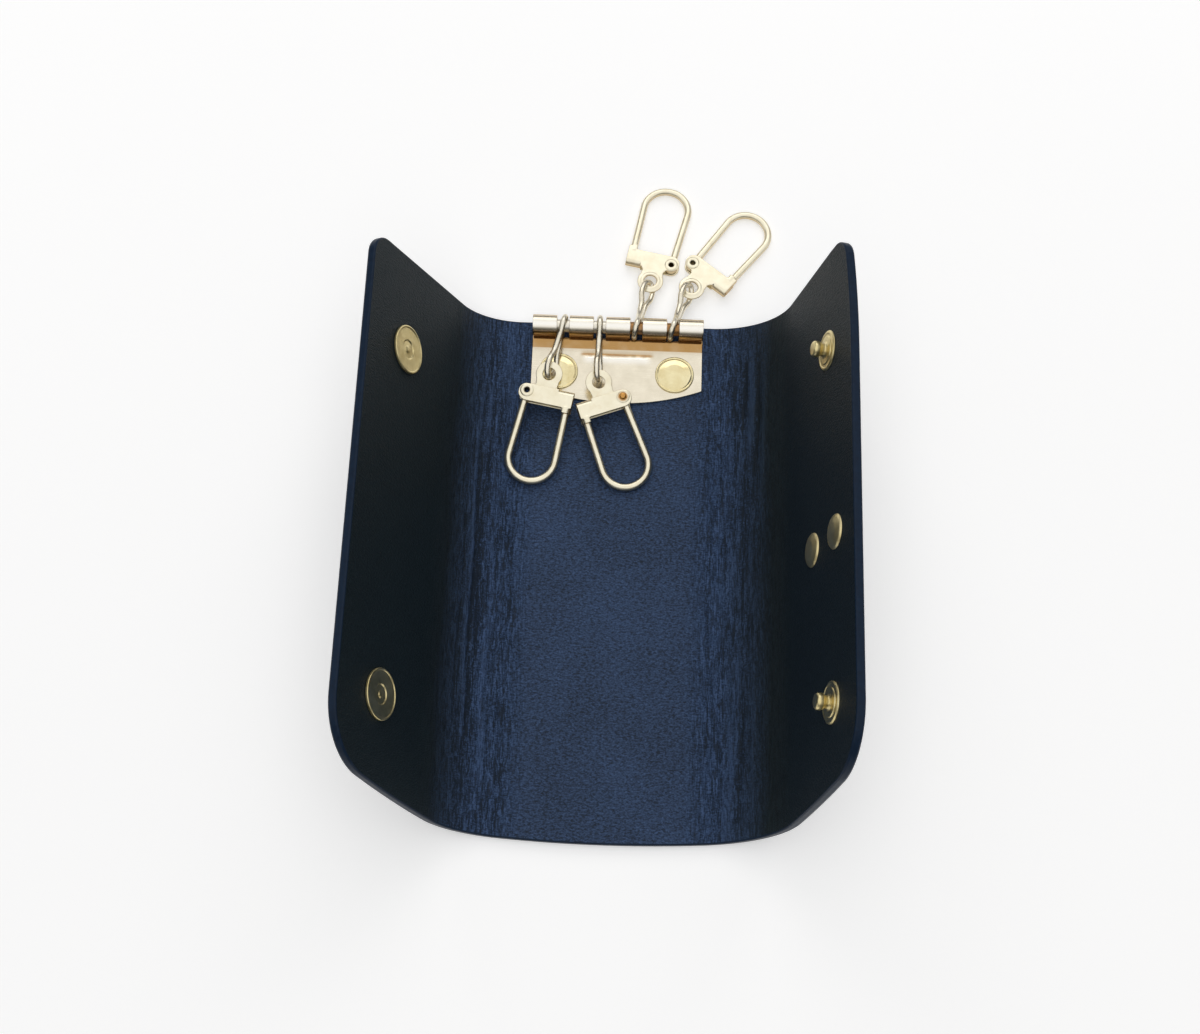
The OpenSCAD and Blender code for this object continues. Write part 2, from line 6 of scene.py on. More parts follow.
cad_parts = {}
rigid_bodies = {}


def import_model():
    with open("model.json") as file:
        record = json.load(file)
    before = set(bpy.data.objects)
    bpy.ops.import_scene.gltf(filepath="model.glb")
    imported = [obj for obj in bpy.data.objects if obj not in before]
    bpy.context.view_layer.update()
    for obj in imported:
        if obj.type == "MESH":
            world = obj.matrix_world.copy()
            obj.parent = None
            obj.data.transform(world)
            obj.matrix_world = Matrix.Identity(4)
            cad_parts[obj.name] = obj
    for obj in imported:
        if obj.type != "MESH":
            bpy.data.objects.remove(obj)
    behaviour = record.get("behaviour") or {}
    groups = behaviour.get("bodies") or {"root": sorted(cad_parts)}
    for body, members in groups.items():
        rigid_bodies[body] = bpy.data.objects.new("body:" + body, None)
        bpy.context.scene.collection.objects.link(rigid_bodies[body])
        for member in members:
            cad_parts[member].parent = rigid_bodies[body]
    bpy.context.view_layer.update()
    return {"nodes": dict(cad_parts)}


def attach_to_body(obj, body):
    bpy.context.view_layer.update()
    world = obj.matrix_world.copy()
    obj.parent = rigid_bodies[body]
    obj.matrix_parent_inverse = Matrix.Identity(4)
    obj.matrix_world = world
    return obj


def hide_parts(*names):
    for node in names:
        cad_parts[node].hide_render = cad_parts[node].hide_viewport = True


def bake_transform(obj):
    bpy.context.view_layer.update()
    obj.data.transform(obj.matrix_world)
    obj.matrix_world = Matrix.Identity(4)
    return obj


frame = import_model()
mm = 0.001
scene = bpy.context.scene
norm = np.linalg.norm
print("frame loaded:", len(frame["nodes"]), "nodes")


# a node of a tree: its settings first, then the values or links of its sockets
def addNode(tree, kind, settings=None, inputs=None):
    made = tree.nodes.new(kind)
    for key, value in (settings or {}).items():
        setattr(made, key, value)
    for key, value in (inputs or {}).items():
        if isinstance(value, bpy.types.NodeSocket):
            tree.links.new(value, made.inputs[key])
        else:
            made.inputs[key].default_value = value
    return made


# shader maths: a socket that can be added, multiplied and so on
class Wire:
    def __init__(self, finish, socket):
        self.finish, self.socket = finish, socket

    def join(self, operation, first, second=0):
        return self.finish.node("ShaderNodeMath", {"operation": operation}, {0: first, 1: second})

    def __add__(self, other): return self.join("ADD", self, other)
    def __radd__(self, other): return self.join("ADD", other, self)
    def __sub__(self, other): return self.join("SUBTRACT", self, other)
    def __rsub__(self, other): return self.join("SUBTRACT", other, self)
    def __mul__(self, other): return self.join("MULTIPLY", self, other)
    def __rmul__(self, other): return self.join("MULTIPLY", other, self)


class Finish:
    def __init__(self, name, world=None):
        self.material = world or bpy.data.materials.new(name)
        self.material.use_nodes = True
        self.tree = self.material.node_tree
        self.tree.nodes.clear()

    def node(self, kind, settings=None, inputs=None, out=0):
        sockets = {key: getattr(value, "socket", value) for key, value in (inputs or {}).items()}
        made = addNode(self.tree, kind, settings, sockets)
        return Wire(self, made.outputs[out]) if len(made.outputs) else None

    def ramp(self, value, *stops):
        wire = self.node("ShaderNodeValToRGB", {}, {0: value})
        elements = wire.socket.node.color_ramp.elements
        while len(elements) < len(stops):
            elements.new(0.5)
        for element, (place, shade) in zip(elements, stops):
            element.position, element.color = place, (shade, shade, shade, 1)
        return wire

    def blend(self, share, *colours):
        first, second = [(*colour, 1) if isinstance(colour, tuple) else colour for colour in colours]
        return self.node("ShaderNodeMix", {"data_type": "RGBA"}, {0: share, 6: first, 7: second}, 2)

    def place(self, scale=(1, 1, 1), source="Object"):
        spot = self.node("ShaderNodeTexCoord", out=source)
        return self.node("ShaderNodeMapping", {}, {"Vector": spot, "Scale": scale})

    def sideways(self, source="Object"):
        return self.node("ShaderNodeSeparateXYZ", {}, {0: self.place(source=source)})

    def vector(self, operation, *values, out=0):
        return self.node("ShaderNodeVectorMath", {"operation": operation}, dict(enumerate(values)), out)

    def attribute(self, label):
        return self.node("ShaderNodeAttribute", {"attribute_name": label}, out="Fac")

    def noise(self, scale, detail=3, rough=0.5, warp=0, source="Object"):
        spot = self.place(scale if isinstance(scale, tuple) else (scale,)*3, source)
        inputs = {"Vector": spot, "Scale": 1, "Detail": detail, "Roughness": rough, "Distortion": warp}
        return self.node("ShaderNodeTexNoise", {}, inputs)

    # 1 for the named kinds of ray
    def seenRays(self, *kinds):
        total, *others = [self.node("ShaderNodeLightPath", out=f"Is {kind} Ray") for kind in kinds]
        for ray in others:
            total = total.join("MAXIMUM", total, ray)
        return total

    def bump(self, height, depth, strength=1, under=None):
        inputs = {"Height": height, "Distance": depth, "Strength": strength}
        if under:
            inputs["Normal"] = under
        return self.node("ShaderNodeBump", {}, inputs)

    def close(self, **sockets):
        named = {key.replace("_", " "): (*value, 1) if isinstance(value, tuple) else value
                 for key, value in sockets.items()}
        shader = self.node("ShaderNodeBsdfPrincipled", {}, named)
        self.node("ShaderNodeOutputMaterial", {}, {"Surface": shader})
        return self.material


def newObject(name, data):
    made = bpy.data.objects.new(name, data)
    scene.collection.objects.link(made)
    return made


# focal length in pixels of the frame's width, target and distance in mm
camera = dict(focal=1678.19, elevation=radians(70.6), yaw=radians(-0.59), roll=radians(1.49),
              target=(-2.45, 11.91, 1.8), distance=357.16, frameWidth=1200, sensor=36)


def addCamera():
    yaw, lift, roll = camera["yaw"], camera["elevation"], camera["roll"]
    ahead = Vector((sin(yaw)*cos(lift), cos(yaw)*cos(lift), -sin(lift)))
    right = Vector((cos(yaw), -sin(yaw), 0))
    up = right.cross(ahead)
    right, up = right*cos(roll) + up*sin(roll), up*cos(roll) - right*sin(roll)
    lens = bpy.data.cameras.new("camera")
    lens.sensor_fit, lens.sensor_width = "HORIZONTAL", camera["sensor"]
    lens.lens = camera["focal"]/camera["frameWidth"]*camera["sensor"]
    lens.clip_start, lens.clip_end = 0.01, 20
    scene.camera = newObject("camera", lens)
    spot = (Vector(camera["target"]) - ahead*camera["distance"])*mm
    scene.camera.matrix_world = Matrix.Translation(spot) @ Matrix((right, up, -ahead)).transposed().to_4x4()


addCamera()


def toObject(name, vertices, faces, *materials):
    mesh = bpy.data.meshes.new(name)
    mesh.from_pydata([tuple(v) for v in vertices], [], [tuple(int(k) for k in f) for f in faces])
    for material in materials:
        mesh.materials.append(material)
    mesh.polygons.foreach_set("use_smooth", [True]*len(mesh.polygons))
    mesh.update()
    return newObject(name, mesh)


def attach(piece, body, slot, *nodes):
    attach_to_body(piece, body)
    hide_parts(*nodes)


def paint(mesh, label, values):
    mesh.attributes.new(label, "FLOAT", "POINT").data.foreach_set("value", np.asarray(values, np.float32))


def edited(mesh, *changes):
    work = bmesh.new()
    work.from_mesh(mesh)
    for change in changes:
        change(work)
    work.to_mesh(mesh)
    work.free()


def mergeDoubles(work):
    bmesh.ops.remove_doubles(work, verts=work.verts, dist=1e-8)


def faceOutwards(work):
    bmesh.ops.recalc_face_normals(work, faces=work.faces)


def dropLoosePoints(work):
    bmesh.ops.delete(work, geom=[v for v in work.verts if not v.link_faces], context="VERTS")


# the evaluated object as a plain mesh, with no modifier left on it
def plain(piece):
    bpy.context.view_layer.update()
    source = piece.evaluated_get(bpy.context.evaluated_depsgraph_get())
    mesh = bpy.data.meshes.new_from_object(source)
    piece.modifiers.clear()
    old, piece.data = piece.data, mesh
    mesh.name = old.name
    bpy.data.meshes.remove(old)
    return piece


# polyline with its corners rounded: every point is (a, b, radius)
def rounded(points, steps=5, closed=False):
    path, count = [], len(points)
    for i, (a, b, radius) in enumerate(points):
        if radius == 0 or (not closed and i in (0, count - 1)):
            path.append((a, b))
            continue
        here = np.array((a, b))
        back, on = [np.array(points[k % count][:2]) - here for k in (i - 1, i + 1)]
        room = min(norm(back), norm(on))
        back, on = back/norm(back), on/norm(on)
        half = acos(max(-1, min(1, float(back @ on))))/2
        run = min(radius/tan(half), room*0.49)
        radius = run*tan(half)
        centre = here + (back + on)/norm(back + on)*radius/sin(half)
        first, last = here + back*run - centre, here + on*run - centre
        sweep = atan2(first[0]*last[1] - first[1]*last[0], float(first @ last))
        for k in range(steps + 1):
            c, s = cos(sweep*k/steps), sin(sweep*k/steps)
            path.append(tuple(centre + np.array((c*first[0] - s*first[1], s*first[0] + c*first[1]))))
    return path


# profile of (radius, height) points turned about the z axis; a ring's profile closes on itself
def lathe(profile, around, ring):
    vertices, faces, rows = [], [], []
    for radius, height in profile:
        rows.append([len(vertices) + k for k in range(around if radius else 1)])
        for k in range(len(rows[-1])):
            angle = 2*pi*k/around
            vertices.append((radius*cos(angle), radius*sin(angle), height))
    for low, high in zip(rows, rows[1:] + ([rows[0]] if ring else [])):
        for k in range(around):
            n = (k + 1) % around
            if len(low) == 1:
                faces.append((low[0], high[k], high[n]))
            elif len(high) == 1:
                faces.append((low[k], low[n], high[0]))
            else:
                faces.append((low[k], low[n], high[n], high[k]))
    return vertices, faces


def turned(name, profile, steps, around, ring, *materials, scale=1):
    vertices, faces = lathe(rounded(profile, steps, ring), around, ring)
    piece = toObject(name, np.array(vertices)*scale, faces, *materials)
    edited(piece.data, mergeDoubles, faceOutwards)
    return piece


# geometry node tree: what adds a node, the tree's own inputs, and what closes it
def newTree(name, sizes):
    tree = bpy.data.node_groups.new(name, "GeometryNodeTree")
    for label, kind in {"Geometry": "Geometry", **sizes, "Material": "Material"}.items():
        tree.interface.new_socket(label, in_out="INPUT", socket_type="NodeSocket" + kind)
    tree.interface.new_socket("Geometry", in_out="OUTPUT", socket_type="NodeSocketGeometry")

    def add(*what):
        made = addNode(tree, *what)
        return made.outputs[0] if made.outputs else None
    start = add("NodeGroupInput").node.outputs

    def finish(geometry):
        solid = add("GeometryNodeRealizeInstances", {}, {"Geometry": geometry})
        smooth = add("GeometryNodeSetShadeSmooth", {}, {"Geometry": solid, "Shade Smooth": True})
        painted = add("GeometryNodeSetMaterial", {}, {"Geometry": smooth, "Material": start["Material"]})
        add("NodeGroupOutput", {}, {"Geometry": painted})
        return tree
    return add, start, finish


# round wire along the object's own edges, with a thickness for every point
def wireTree():
    add, start, finish = newTree("wireSweep", dict(Diameter="Float", Sides="Int"))
    path = add("GeometryNodeMeshToCurve", {}, {"Mesh": start["Geometry"]})
    thick = add("GeometryNodeInputNamedAttribute", {"data_type": "FLOAT"}, {"Name": "thickShare"})
    half = add("ShaderNodeMath", {"operation": "MULTIPLY"}, {0: start["Diameter"], 1: 0.5})
    size = add("ShaderNodeMath", {"operation": "MULTIPLY"}, {0: half, 1: thick})
    path = add("GeometryNodeSetCurveRadius", {}, {"Curve": path, "Radius": size})
    ring = add("GeometryNodeCurvePrimitiveCircle", {"mode": "RADIUS"}, {"Resolution": start["Sides"], "Radius": 1})
    sweep = add("GeometryNodeCurveToMesh", {}, {"Curve": path, "Profile Curve": ring, "Fill Caps": True})
    if "Scale" in sweep.node.inputs:
        sweep.id_data.links.new(add("GeometryNodeInputRadius"), sweep.node.inputs["Scale"])
    return finish(sweep)


# the same fastener repeated along a straight row
def rowTree():
    add, start, finish = newTree("fastenerRow", dict(Count="Int", Start="Vector", Step="Vector"))
    row = add("GeometryNodeMeshLine", {"mode": "OFFSET"},
              {"Count": start["Count"], "Start Location": start["Start"], "Offset": start["Step"]})
    return finish(add("GeometryNodeInstanceOnPoints", {}, {"Points": row, "Instance": start["Geometry"]}))


def grow(piece, tree, **values):
    modifier = piece.modifiers.new(tree.name, "NODES")
    modifier.node_group = tree
    for item in tree.interface.items_tree:
        if item.item_type == "SOCKET" and item.in_out == "INPUT" and item.name in values:
            modifier[item.identifier] = values[item.name]
    return plain(piece)


wireSweep, fastenerRow = wireTree(), rowTree()
print("node trees ready")


# leather on the flat sheet: scale, detail, roughness, warp, and where the ramp starts and ends
leatherGrain = dict(
    fibre=((1300, 2900, 1), 2.5, 0.55, 0.8, 0.38, 0.64),
    speck=((2300, 3000, 1), 2, 0.5, 0.5, 0.42, 0.66),
    streak=((2100, 300, 1), 4, 0.62, 1.4, 0.42, 0.62),
    furrow=((1500, 70, 1), 3, 0.5, 0.6, 0.5, 0.66))
# flapFrom: how far from the middle the painted shade of the flaps begins
leatherLook = dict(cells=(1500, 2100), cellEdge=0.25, middleShift=0.0015, flapFrom=0.0195, relief=0.00011)
# dark and light tints of the middle and of the flaps; the lining's much darker flap tints are painted shade on the
# tilted flaps
leathers = dict(
    lining=dict(middle=((0.008, 0.0165, 0.033), (0.059, 0.108, 0.23)),
                flap=((0.0042, 0.0088, 0.0106), (0.0108, 0.021, 0.0252)), shine=0.55, grain=1),
    outer=dict(middle=((0.006, 0.0105, 0.022), (0.018, 0.03, 0.062)),
               flap=((0.006, 0.0105, 0.022), (0.017, 0.028, 0.056)), shine=0.46, grain=0.8))


def leatherFinish(name, middle, flap, shine, grain):
    f = Finish(name)

    def grainOf(kind):
        *looks, start, end = leatherGrain[kind]
        return f.ramp(f.noise(*looks, "UV"), (start, 0), (end, 1))
    fibre, speck, streak, furrow = [grainOf(kind) for kind in leatherGrain]
    cellPlace = f.place((*(scale*grain for scale in leatherLook["cells"]), 1), "UV")
    cells = f.node("ShaderNodeTexVoronoi", {"feature": "DISTANCE_TO_EDGE"}, {"Vector": cellPlace, "Scale": 1})
    cells = f.ramp(cells, (0, 0), (leatherLook["cellEdge"], 1))
    cloud = f.noise((60, 45, 1), source="UV")
    creaseWearAndShade, fold = f.attribute("creaseWearAndShade"), f.attribute("foldShare")
    across = f.sideways("UV") + leatherLook["middleShift"]
    # painted shade: across the folds the tone goes over from the middle's tints to the dark flap tints
    outwards = across.join("ABSOLUTE", across) + (cloud - 0.5)*0.006 - leatherLook["flapFrom"]
    flapShade = f.ramp(outwards*50, (0.28, 0), (0.6, 0.5), (0.95, 1))
    mottle = fibre*0.5 + speck*0.35 + cells*0.15
    lines = mottle*(1 - fold*0.55) + streak*(0.3 + mottle)*fold*0.95 - furrow*fold*0.28
    # from the wrinkle height: lighter on the crests as wear, darker in the valleys as painted shade
    share = lines*1.15 + (cloud - 0.5)*0.5 + creaseWearAndShade*0.6 - 0.08
    tone = f.blend(flapShade, f.blend(share, *middle), f.blend(share, *flap))
    normal = f.bump(mottle*0.8 + streak*fold*0.9, leatherLook["relief"])
    rough = shine + (fibre - 0.5)*0.12 + (cloud - 0.5)*0.08
    return f.close(Base_Color=tone, Roughness=rough, Normal=normal, Specular_IOR_Level=0.2,
                   Sheen_Weight=0.03, Sheen_Roughness=0.45, Sheen_Tint=(0.25, 0.35, 0.7))


edgeLook = dict(dark=(0.003, 0.009, 0.022), light=(0.009, 0.026, 0.058), shine=0.36, relief=0.00008)


def edgePaintFinish():
    f = Finish("edgePaint")
    wave = f.noise(900, 4, 0.6)
    tone = f.blend(wave, edgeLook["dark"], edgeLook["light"])
    return f.close(Base_Color=tone, Roughness=edgeLook["shine"] + (wave - 0.5)*0.25,
                   Normal=f.bump(wave, edgeLook["relief"], 0.6), Specular_IOR_Level=0.15)


# dark and light tint of each metal, and whatever else it shows
metals = dict(
    # warm: the brown of the painted reflection on the rack and the hooks, and the rod's brown beyond warmFrom
    rackChampagne=dict(
        low=(0.74, 0.67, 0.53), high=(0.86, 0.79, 0.64), shine=0.25, brush=(60, 4200, 4200), warm=(0.46, 0.27, 0.1)),
    hookChampagne=dict(
        low=(0.84, 0.77, 0.58), high=(0.93, 0.87, 0.69), shine=0.33, brush=700, depth=0.000003,
        stain=(0.74, 0.6, 0.38), warm=(0.52, 0.34, 0.13), dents=0.00005),
    linkSilverGold=dict(low=(0.74, 0.67, 0.52), high=(0.88, 0.83, 0.71), shine=0.28),
    rivetGold=dict(low=(0.72, 0.6, 0.32), high=(0.86, 0.77, 0.48), shine=0.17, dents=0.0001),
    pivotCopper=dict(low=(0.46, 0.22, 0.05), high=(0.62, 0.33, 0.1), shine=0.2),
    # painted shade: the dark brown inside the pivots' holes
    pivotBoreShade=dict(low=(0.1, 0.07, 0.025), high=(0.24, 0.17, 0.07), shine=0.4),
    flapRivetGold=dict(low=(0.7, 0.57, 0.28), high=(0.84, 0.74, 0.44), shine=0.4),
    snapGold=dict(low=(0.66, 0.54, 0.25), high=(0.82, 0.71, 0.4), shine=0.34, stain=(0.44, 0.32, 0.14)),
    rodSteel=dict(
        low=(0.8, 0.75, 0.64), high=(0.9, 0.86, 0.76), shine=0.34, brush=(200, 3000, 3000),
        warm=(0.34, 0.18, 0.07), warmFrom=-0.001))
# painted highlight: the pale tint taken by the rack's barrel tops and raised bar
highlightTint = (0.99, 0.97, 0.92)  # where "warmth" is below 0


# plated metal: broad tint, brushing, stains, soft dents; painted reflection, browner, or paler as a painted highlight
# below 0, where the painted reflection attribute says; and browner beyond warmFrom
def metalFinish(name, low, high, shine, brush=1500, depth=0.000004, stain=None, warm=None, dents=0, warmFrom=None):
    f = Finish(name)
    cloud = f.noise(350)
    line = f.noise(brush, 4, 0.6)
    tone = f.blend(f.ramp(cloud*0.7 + line*0.3, (0.32, 0), (0.68, 1)), low, high)
    if stain:
        patch = f.ramp(f.noise(420, 4, 0.55), (0.55, 0), (0.75, 1))
        tone = f.blend(patch*0.4, tone, stain)
    # the attribute carries painted reflection and painted highlight on the rack, and painted edge reflection on hooks
    # and loops
    if warm:
        if warmFrom is None:
            share = f.attribute("paintedReflection")
        else:
            share = f.ramp((f.sideways() - warmFrom)*300, (0, 0), (1, 1))
        tone = f.blend(share*-1, f.blend(share*(0.75 + cloud*0.5), tone, warm), highlightTint)
    rough = shine + (line - 0.5)*0.14 + (cloud - 0.5)*0.08
    normal = f.bump(line, depth, 0.7)
    if dents:
        normal = f.bump(f.noise(230, 1), dents, 1, normal)
    return f.close(Base_Color=tone, Metallic=1, Roughness=rough, Normal=normal)


lining, outerLeather = [leatherFinish(f"{layer}Leather", **look) for layer, look in leathers.items()]
edgePaint = edgePaintFinish()
(rackMetal, hookMetal, linkMetal, rivetMetal, copperMetal, boreShadeMetal, flapMetal, snapMetal,
 rodMetal) = [metalFinish(name, **look) for name, look in metals.items()]
print("finishes ready")


# leather sizes in mm; the steps are those of the mesh
leather = dict(
    length=114.4, outer=1, whole=1.8, topRadius=4.6, lowRadius=13.9, curveRadius=305, rowStep=0.85, foldStep=0.33,
    flatStep=0.55, cornerSteps=12, edgeIn=0.34, leanFrom=33, leanRise=24, leanOut=26, wave=0.25, waveLength=5.5,
    smoothTo=19.5, smoothBelow=14, outerShift=9, blendHeight=0.9, blendIn=0.06, probe=0.04, seed=11)
halfLength = leather["length"]/2
rightRise = 4.3/(1 + sqrt(2))  # the right fold is 4.3 mm higher than the left one
sides = dict(
    left=dict(sign=-1, width=23.5, strip=4.4, turn=radians(64.4), flap=37.4, lean=0),
    right=dict(sign=1, width=23.8, strip=4.4 + rightRise, turn=radians(76.5), flap=36.5, lean=1))
for side in sides.values():
    side["radius"] = side["strip"]/2/tan(side["turn"]/8)
    side["start"] = side["width"] - side["strip"]/2
    side["end"] = side["start"] + 4*side["strip"]
    side["reach"] = side["width"] + 3*side["strip"] + side["flap"]
# edge from the face inwards: share of the layer's thickness, inset, and turn of the normal
edgeShape = ((0.94, 0.16, 1), (0.75, 0.05, 0.5), (0.45, 0, 0), (0, 0, 0))
fasteners = dict(snapX=-0.4, topIn=20.2, bottomIn=22.7, flapRivetIn=15.1, flapRivetPitch=12, flapRivetLow=2,
                 rackRivetPitch=25.4, rackRivetIn=9.8, wellDepth=0.8, wellRadius=3.5)
snapRows = (halfLength - fasteners["topIn"], -halfLength + fasteners["bottomIn"])


# a point of the flat sheet put in its place: s from the middle along the outer face, h above that face
def bent(side, s, y, h):
    turn = side["turn"]*np.clip((s - side["start"])/(4*side["strip"]), 0, 1)
    beyond = np.maximum(s - side["end"], 0)
    x = np.minimum(s, side["start"]) + (side["radius"] - h)*np.sin(turn) + beyond*np.cos(turn)
    z = side["radius"] - (side["radius"] - h)*np.cos(turn) + beyond*np.sin(turn)
    lean = side["lean"]*np.clip((y - leather["leanFrom"])/leather["leanRise"], 0, 1)**2
    lean = lean*np.clip(beyond/leather["leanOut"], 0, 1)  # the flap's upper corner leans inwards
    return np.stack([side["sign"]*(x - lean), y - 0.45*lean + 0*x, z], -1)


# bottom ends of the columns at s of the flat outline, drawn in by inset, their outward directions, and the top's
def columnEnds(side, s, inset):
    flip, s = np.where(s < 0, -1, 1), np.abs(s)
    low, top, bow = leather["lowRadius"], leather["topRadius"], leather["curveRadius"]
    lowX, bowY = side["reach"] - low, bow - halfLength
    lowY = bowY - sqrt((bow - low)**2 - lowX**2)
    onBow = s <= lowX*bow/(bow - low)
    share = np.clip(np.where(onBow, s/bow, (s - lowX)/low), -1, 1)
    down = np.sqrt(1 - share**2)
    size = np.where(onBow, bow, low) - inset
    topX = side["reach"] - top
    lean = np.clip((s - topX)/top, 0, 1)
    rise = np.sqrt(1 - lean**2)
    upperX = np.where(s > topX, topX + lean*(top - inset), s)
    upperY = np.where(s > topX, halfLength - top + rise*(top - inset), halfLength - inset)
    bottom = np.where(onBow, 0, lowX) + share*size, np.where(onBow, bowY, lowY) - down*size
    return [np.stack([flip*x, y], -1) for x, y in (bottom, (share, -down), (upperX, upperY), (lean, rise))]


# fine wrinkles: from and to in u, which is negative on the left, how many, and the highest
wrinkleZones = ((-35, -16, 60, 0.055), (-31, -20, 40, 0.075), (22.5, 37, 60, 0.055), (23, 31, 40, 0.075))
# long soft wrinkles: place, middle, half length, width, height, slant and phase of the wave, in mm
wrinkles = [
    (30.9, 38, 15, 0.7, 0.28, 0.05, 1), (32.6, 36, 17, 0.55, -0.3, 0.05, 2), (29, 40, 12, 0.5, -0.24, 0.03, 0.5),
    (34.4, 30, 22, 0.6, 0.16, 0.02, 0.9), (26.6, 34, 14, 0.4, -0.16, 0.02, 2.9), (-29.6, -4, 54, 0.5, -0.2, 0, 1.2),
    (-30.8, 2, 48, 0.4, 0.12, 0, 1.2), (-33, -14, 36, 0.4, -0.12, 0.01, 2.6), (-27.2, 30, 26, 0.4, -0.12, 0, 0.4),
    (-25.8, -22, 34, 0.9, 0.1, 0, 3), (-28.5, -8, 40, 0.7, -0.1, 0.01, 4), (-22, 36, 18, 0.6, 0.1, 0, 1.5),
    (26.4, -42, 16, 0.6, 0.12, -0.02, 2.2), (29, -38, 18, 0.5, -0.12, 0.02, 0.8), (32, -34, 20, 0.7, 0.1, 0, 5)]
rng = np.random.default_rng(leather["seed"])
for low, high, count, deepest in wrinkleZones:
    for i in range(count):
        wrinkles.append((
            rng.uniform(low, high), rng.uniform(-56, 54), rng.uniform(3, 17), rng.uniform(0.2, 0.6),
            deepest*rng.uniform(0.25, 1)*rng.choice((-1, 1)), rng.uniform(-0.05, 0.05), rng.uniform(0, 6)))


def creases(u, y):
    total = np.zeros(np.broadcast(u, y).shape)
    for place, middle, reach, width, height, slant, phase in wrinkles:
        wave = leather["wave"]*np.sin(y/leather["waveLength"] + phase)
        across = (u - place - slant*(y - middle) - wave)/width
        along = np.clip(1 - ((y - middle)/reach)**2, 0, 1)
        total += height*np.exp(-across**2)*along**1.5
    out = np.abs(u) - leather["smoothTo"]  # smooth beside the rack, and a little less wide below it
    clear = np.clip(out/4, 0, 1) + np.clip((leather["smoothBelow"] - y)/6, 0, 1)*np.clip((out + 4.5)/4, 0, 1)
    return total*np.clip((halfLength - np.abs(y))/1.6, 0, 1)*np.clip(clear, 0, 1)


def foldShare(u):
    return np.clip((np.abs(u) - 15)/6, 0, 1)*np.clip((46 - np.abs(u))/7, 0, 1)


# room for the studs' knobs, hidden under the sockets
def socketWells(u, y):
    place = sides["left"]["width"]*2 + fasteners["snapX"] + 3*sides["left"]["strip"]
    return sum(fasteners["wellDepth"]*np.clip(fasteners["wellRadius"] - np.hypot(u + place, y - spot), 0, 1)
               for spot in snapRows)


# height of the layer's visible face above the flat sheet's outer face
def faceHeight(u, y, isLining):
    if isLining:
        return leather["whole"] + creases(u, y)
    return -0.5*creases(u, y + leather["outerShift"])*np.clip((np.abs(u) - 22)/4, 0, 1) + socketWells(u, y)


def columnPlaces(side, s0, s1, isFold, isFlap):
    if not isFlap:
        return np.linspace(s0, s1, int(ceil((s1 - s0)/leather["foldStep" if isFold else "flatStep"])) + 1)
    corner, bendEnd = s1 - leather["topRadius"], s0 + side["strip"]
    quarter = np.linspace(0, pi/2, leather["cornerSteps"] + 1)
    return np.concatenate([
        np.linspace(s0, bendEnd, int(side["strip"]/leather["foldStep"]), endpoint=False),
        np.linspace(bendEnd, corner, int((corner - bendEnd)/leather["flatStep"]), endpoint=False),
        corner + leather["topRadius"]*np.sin(quarter)])


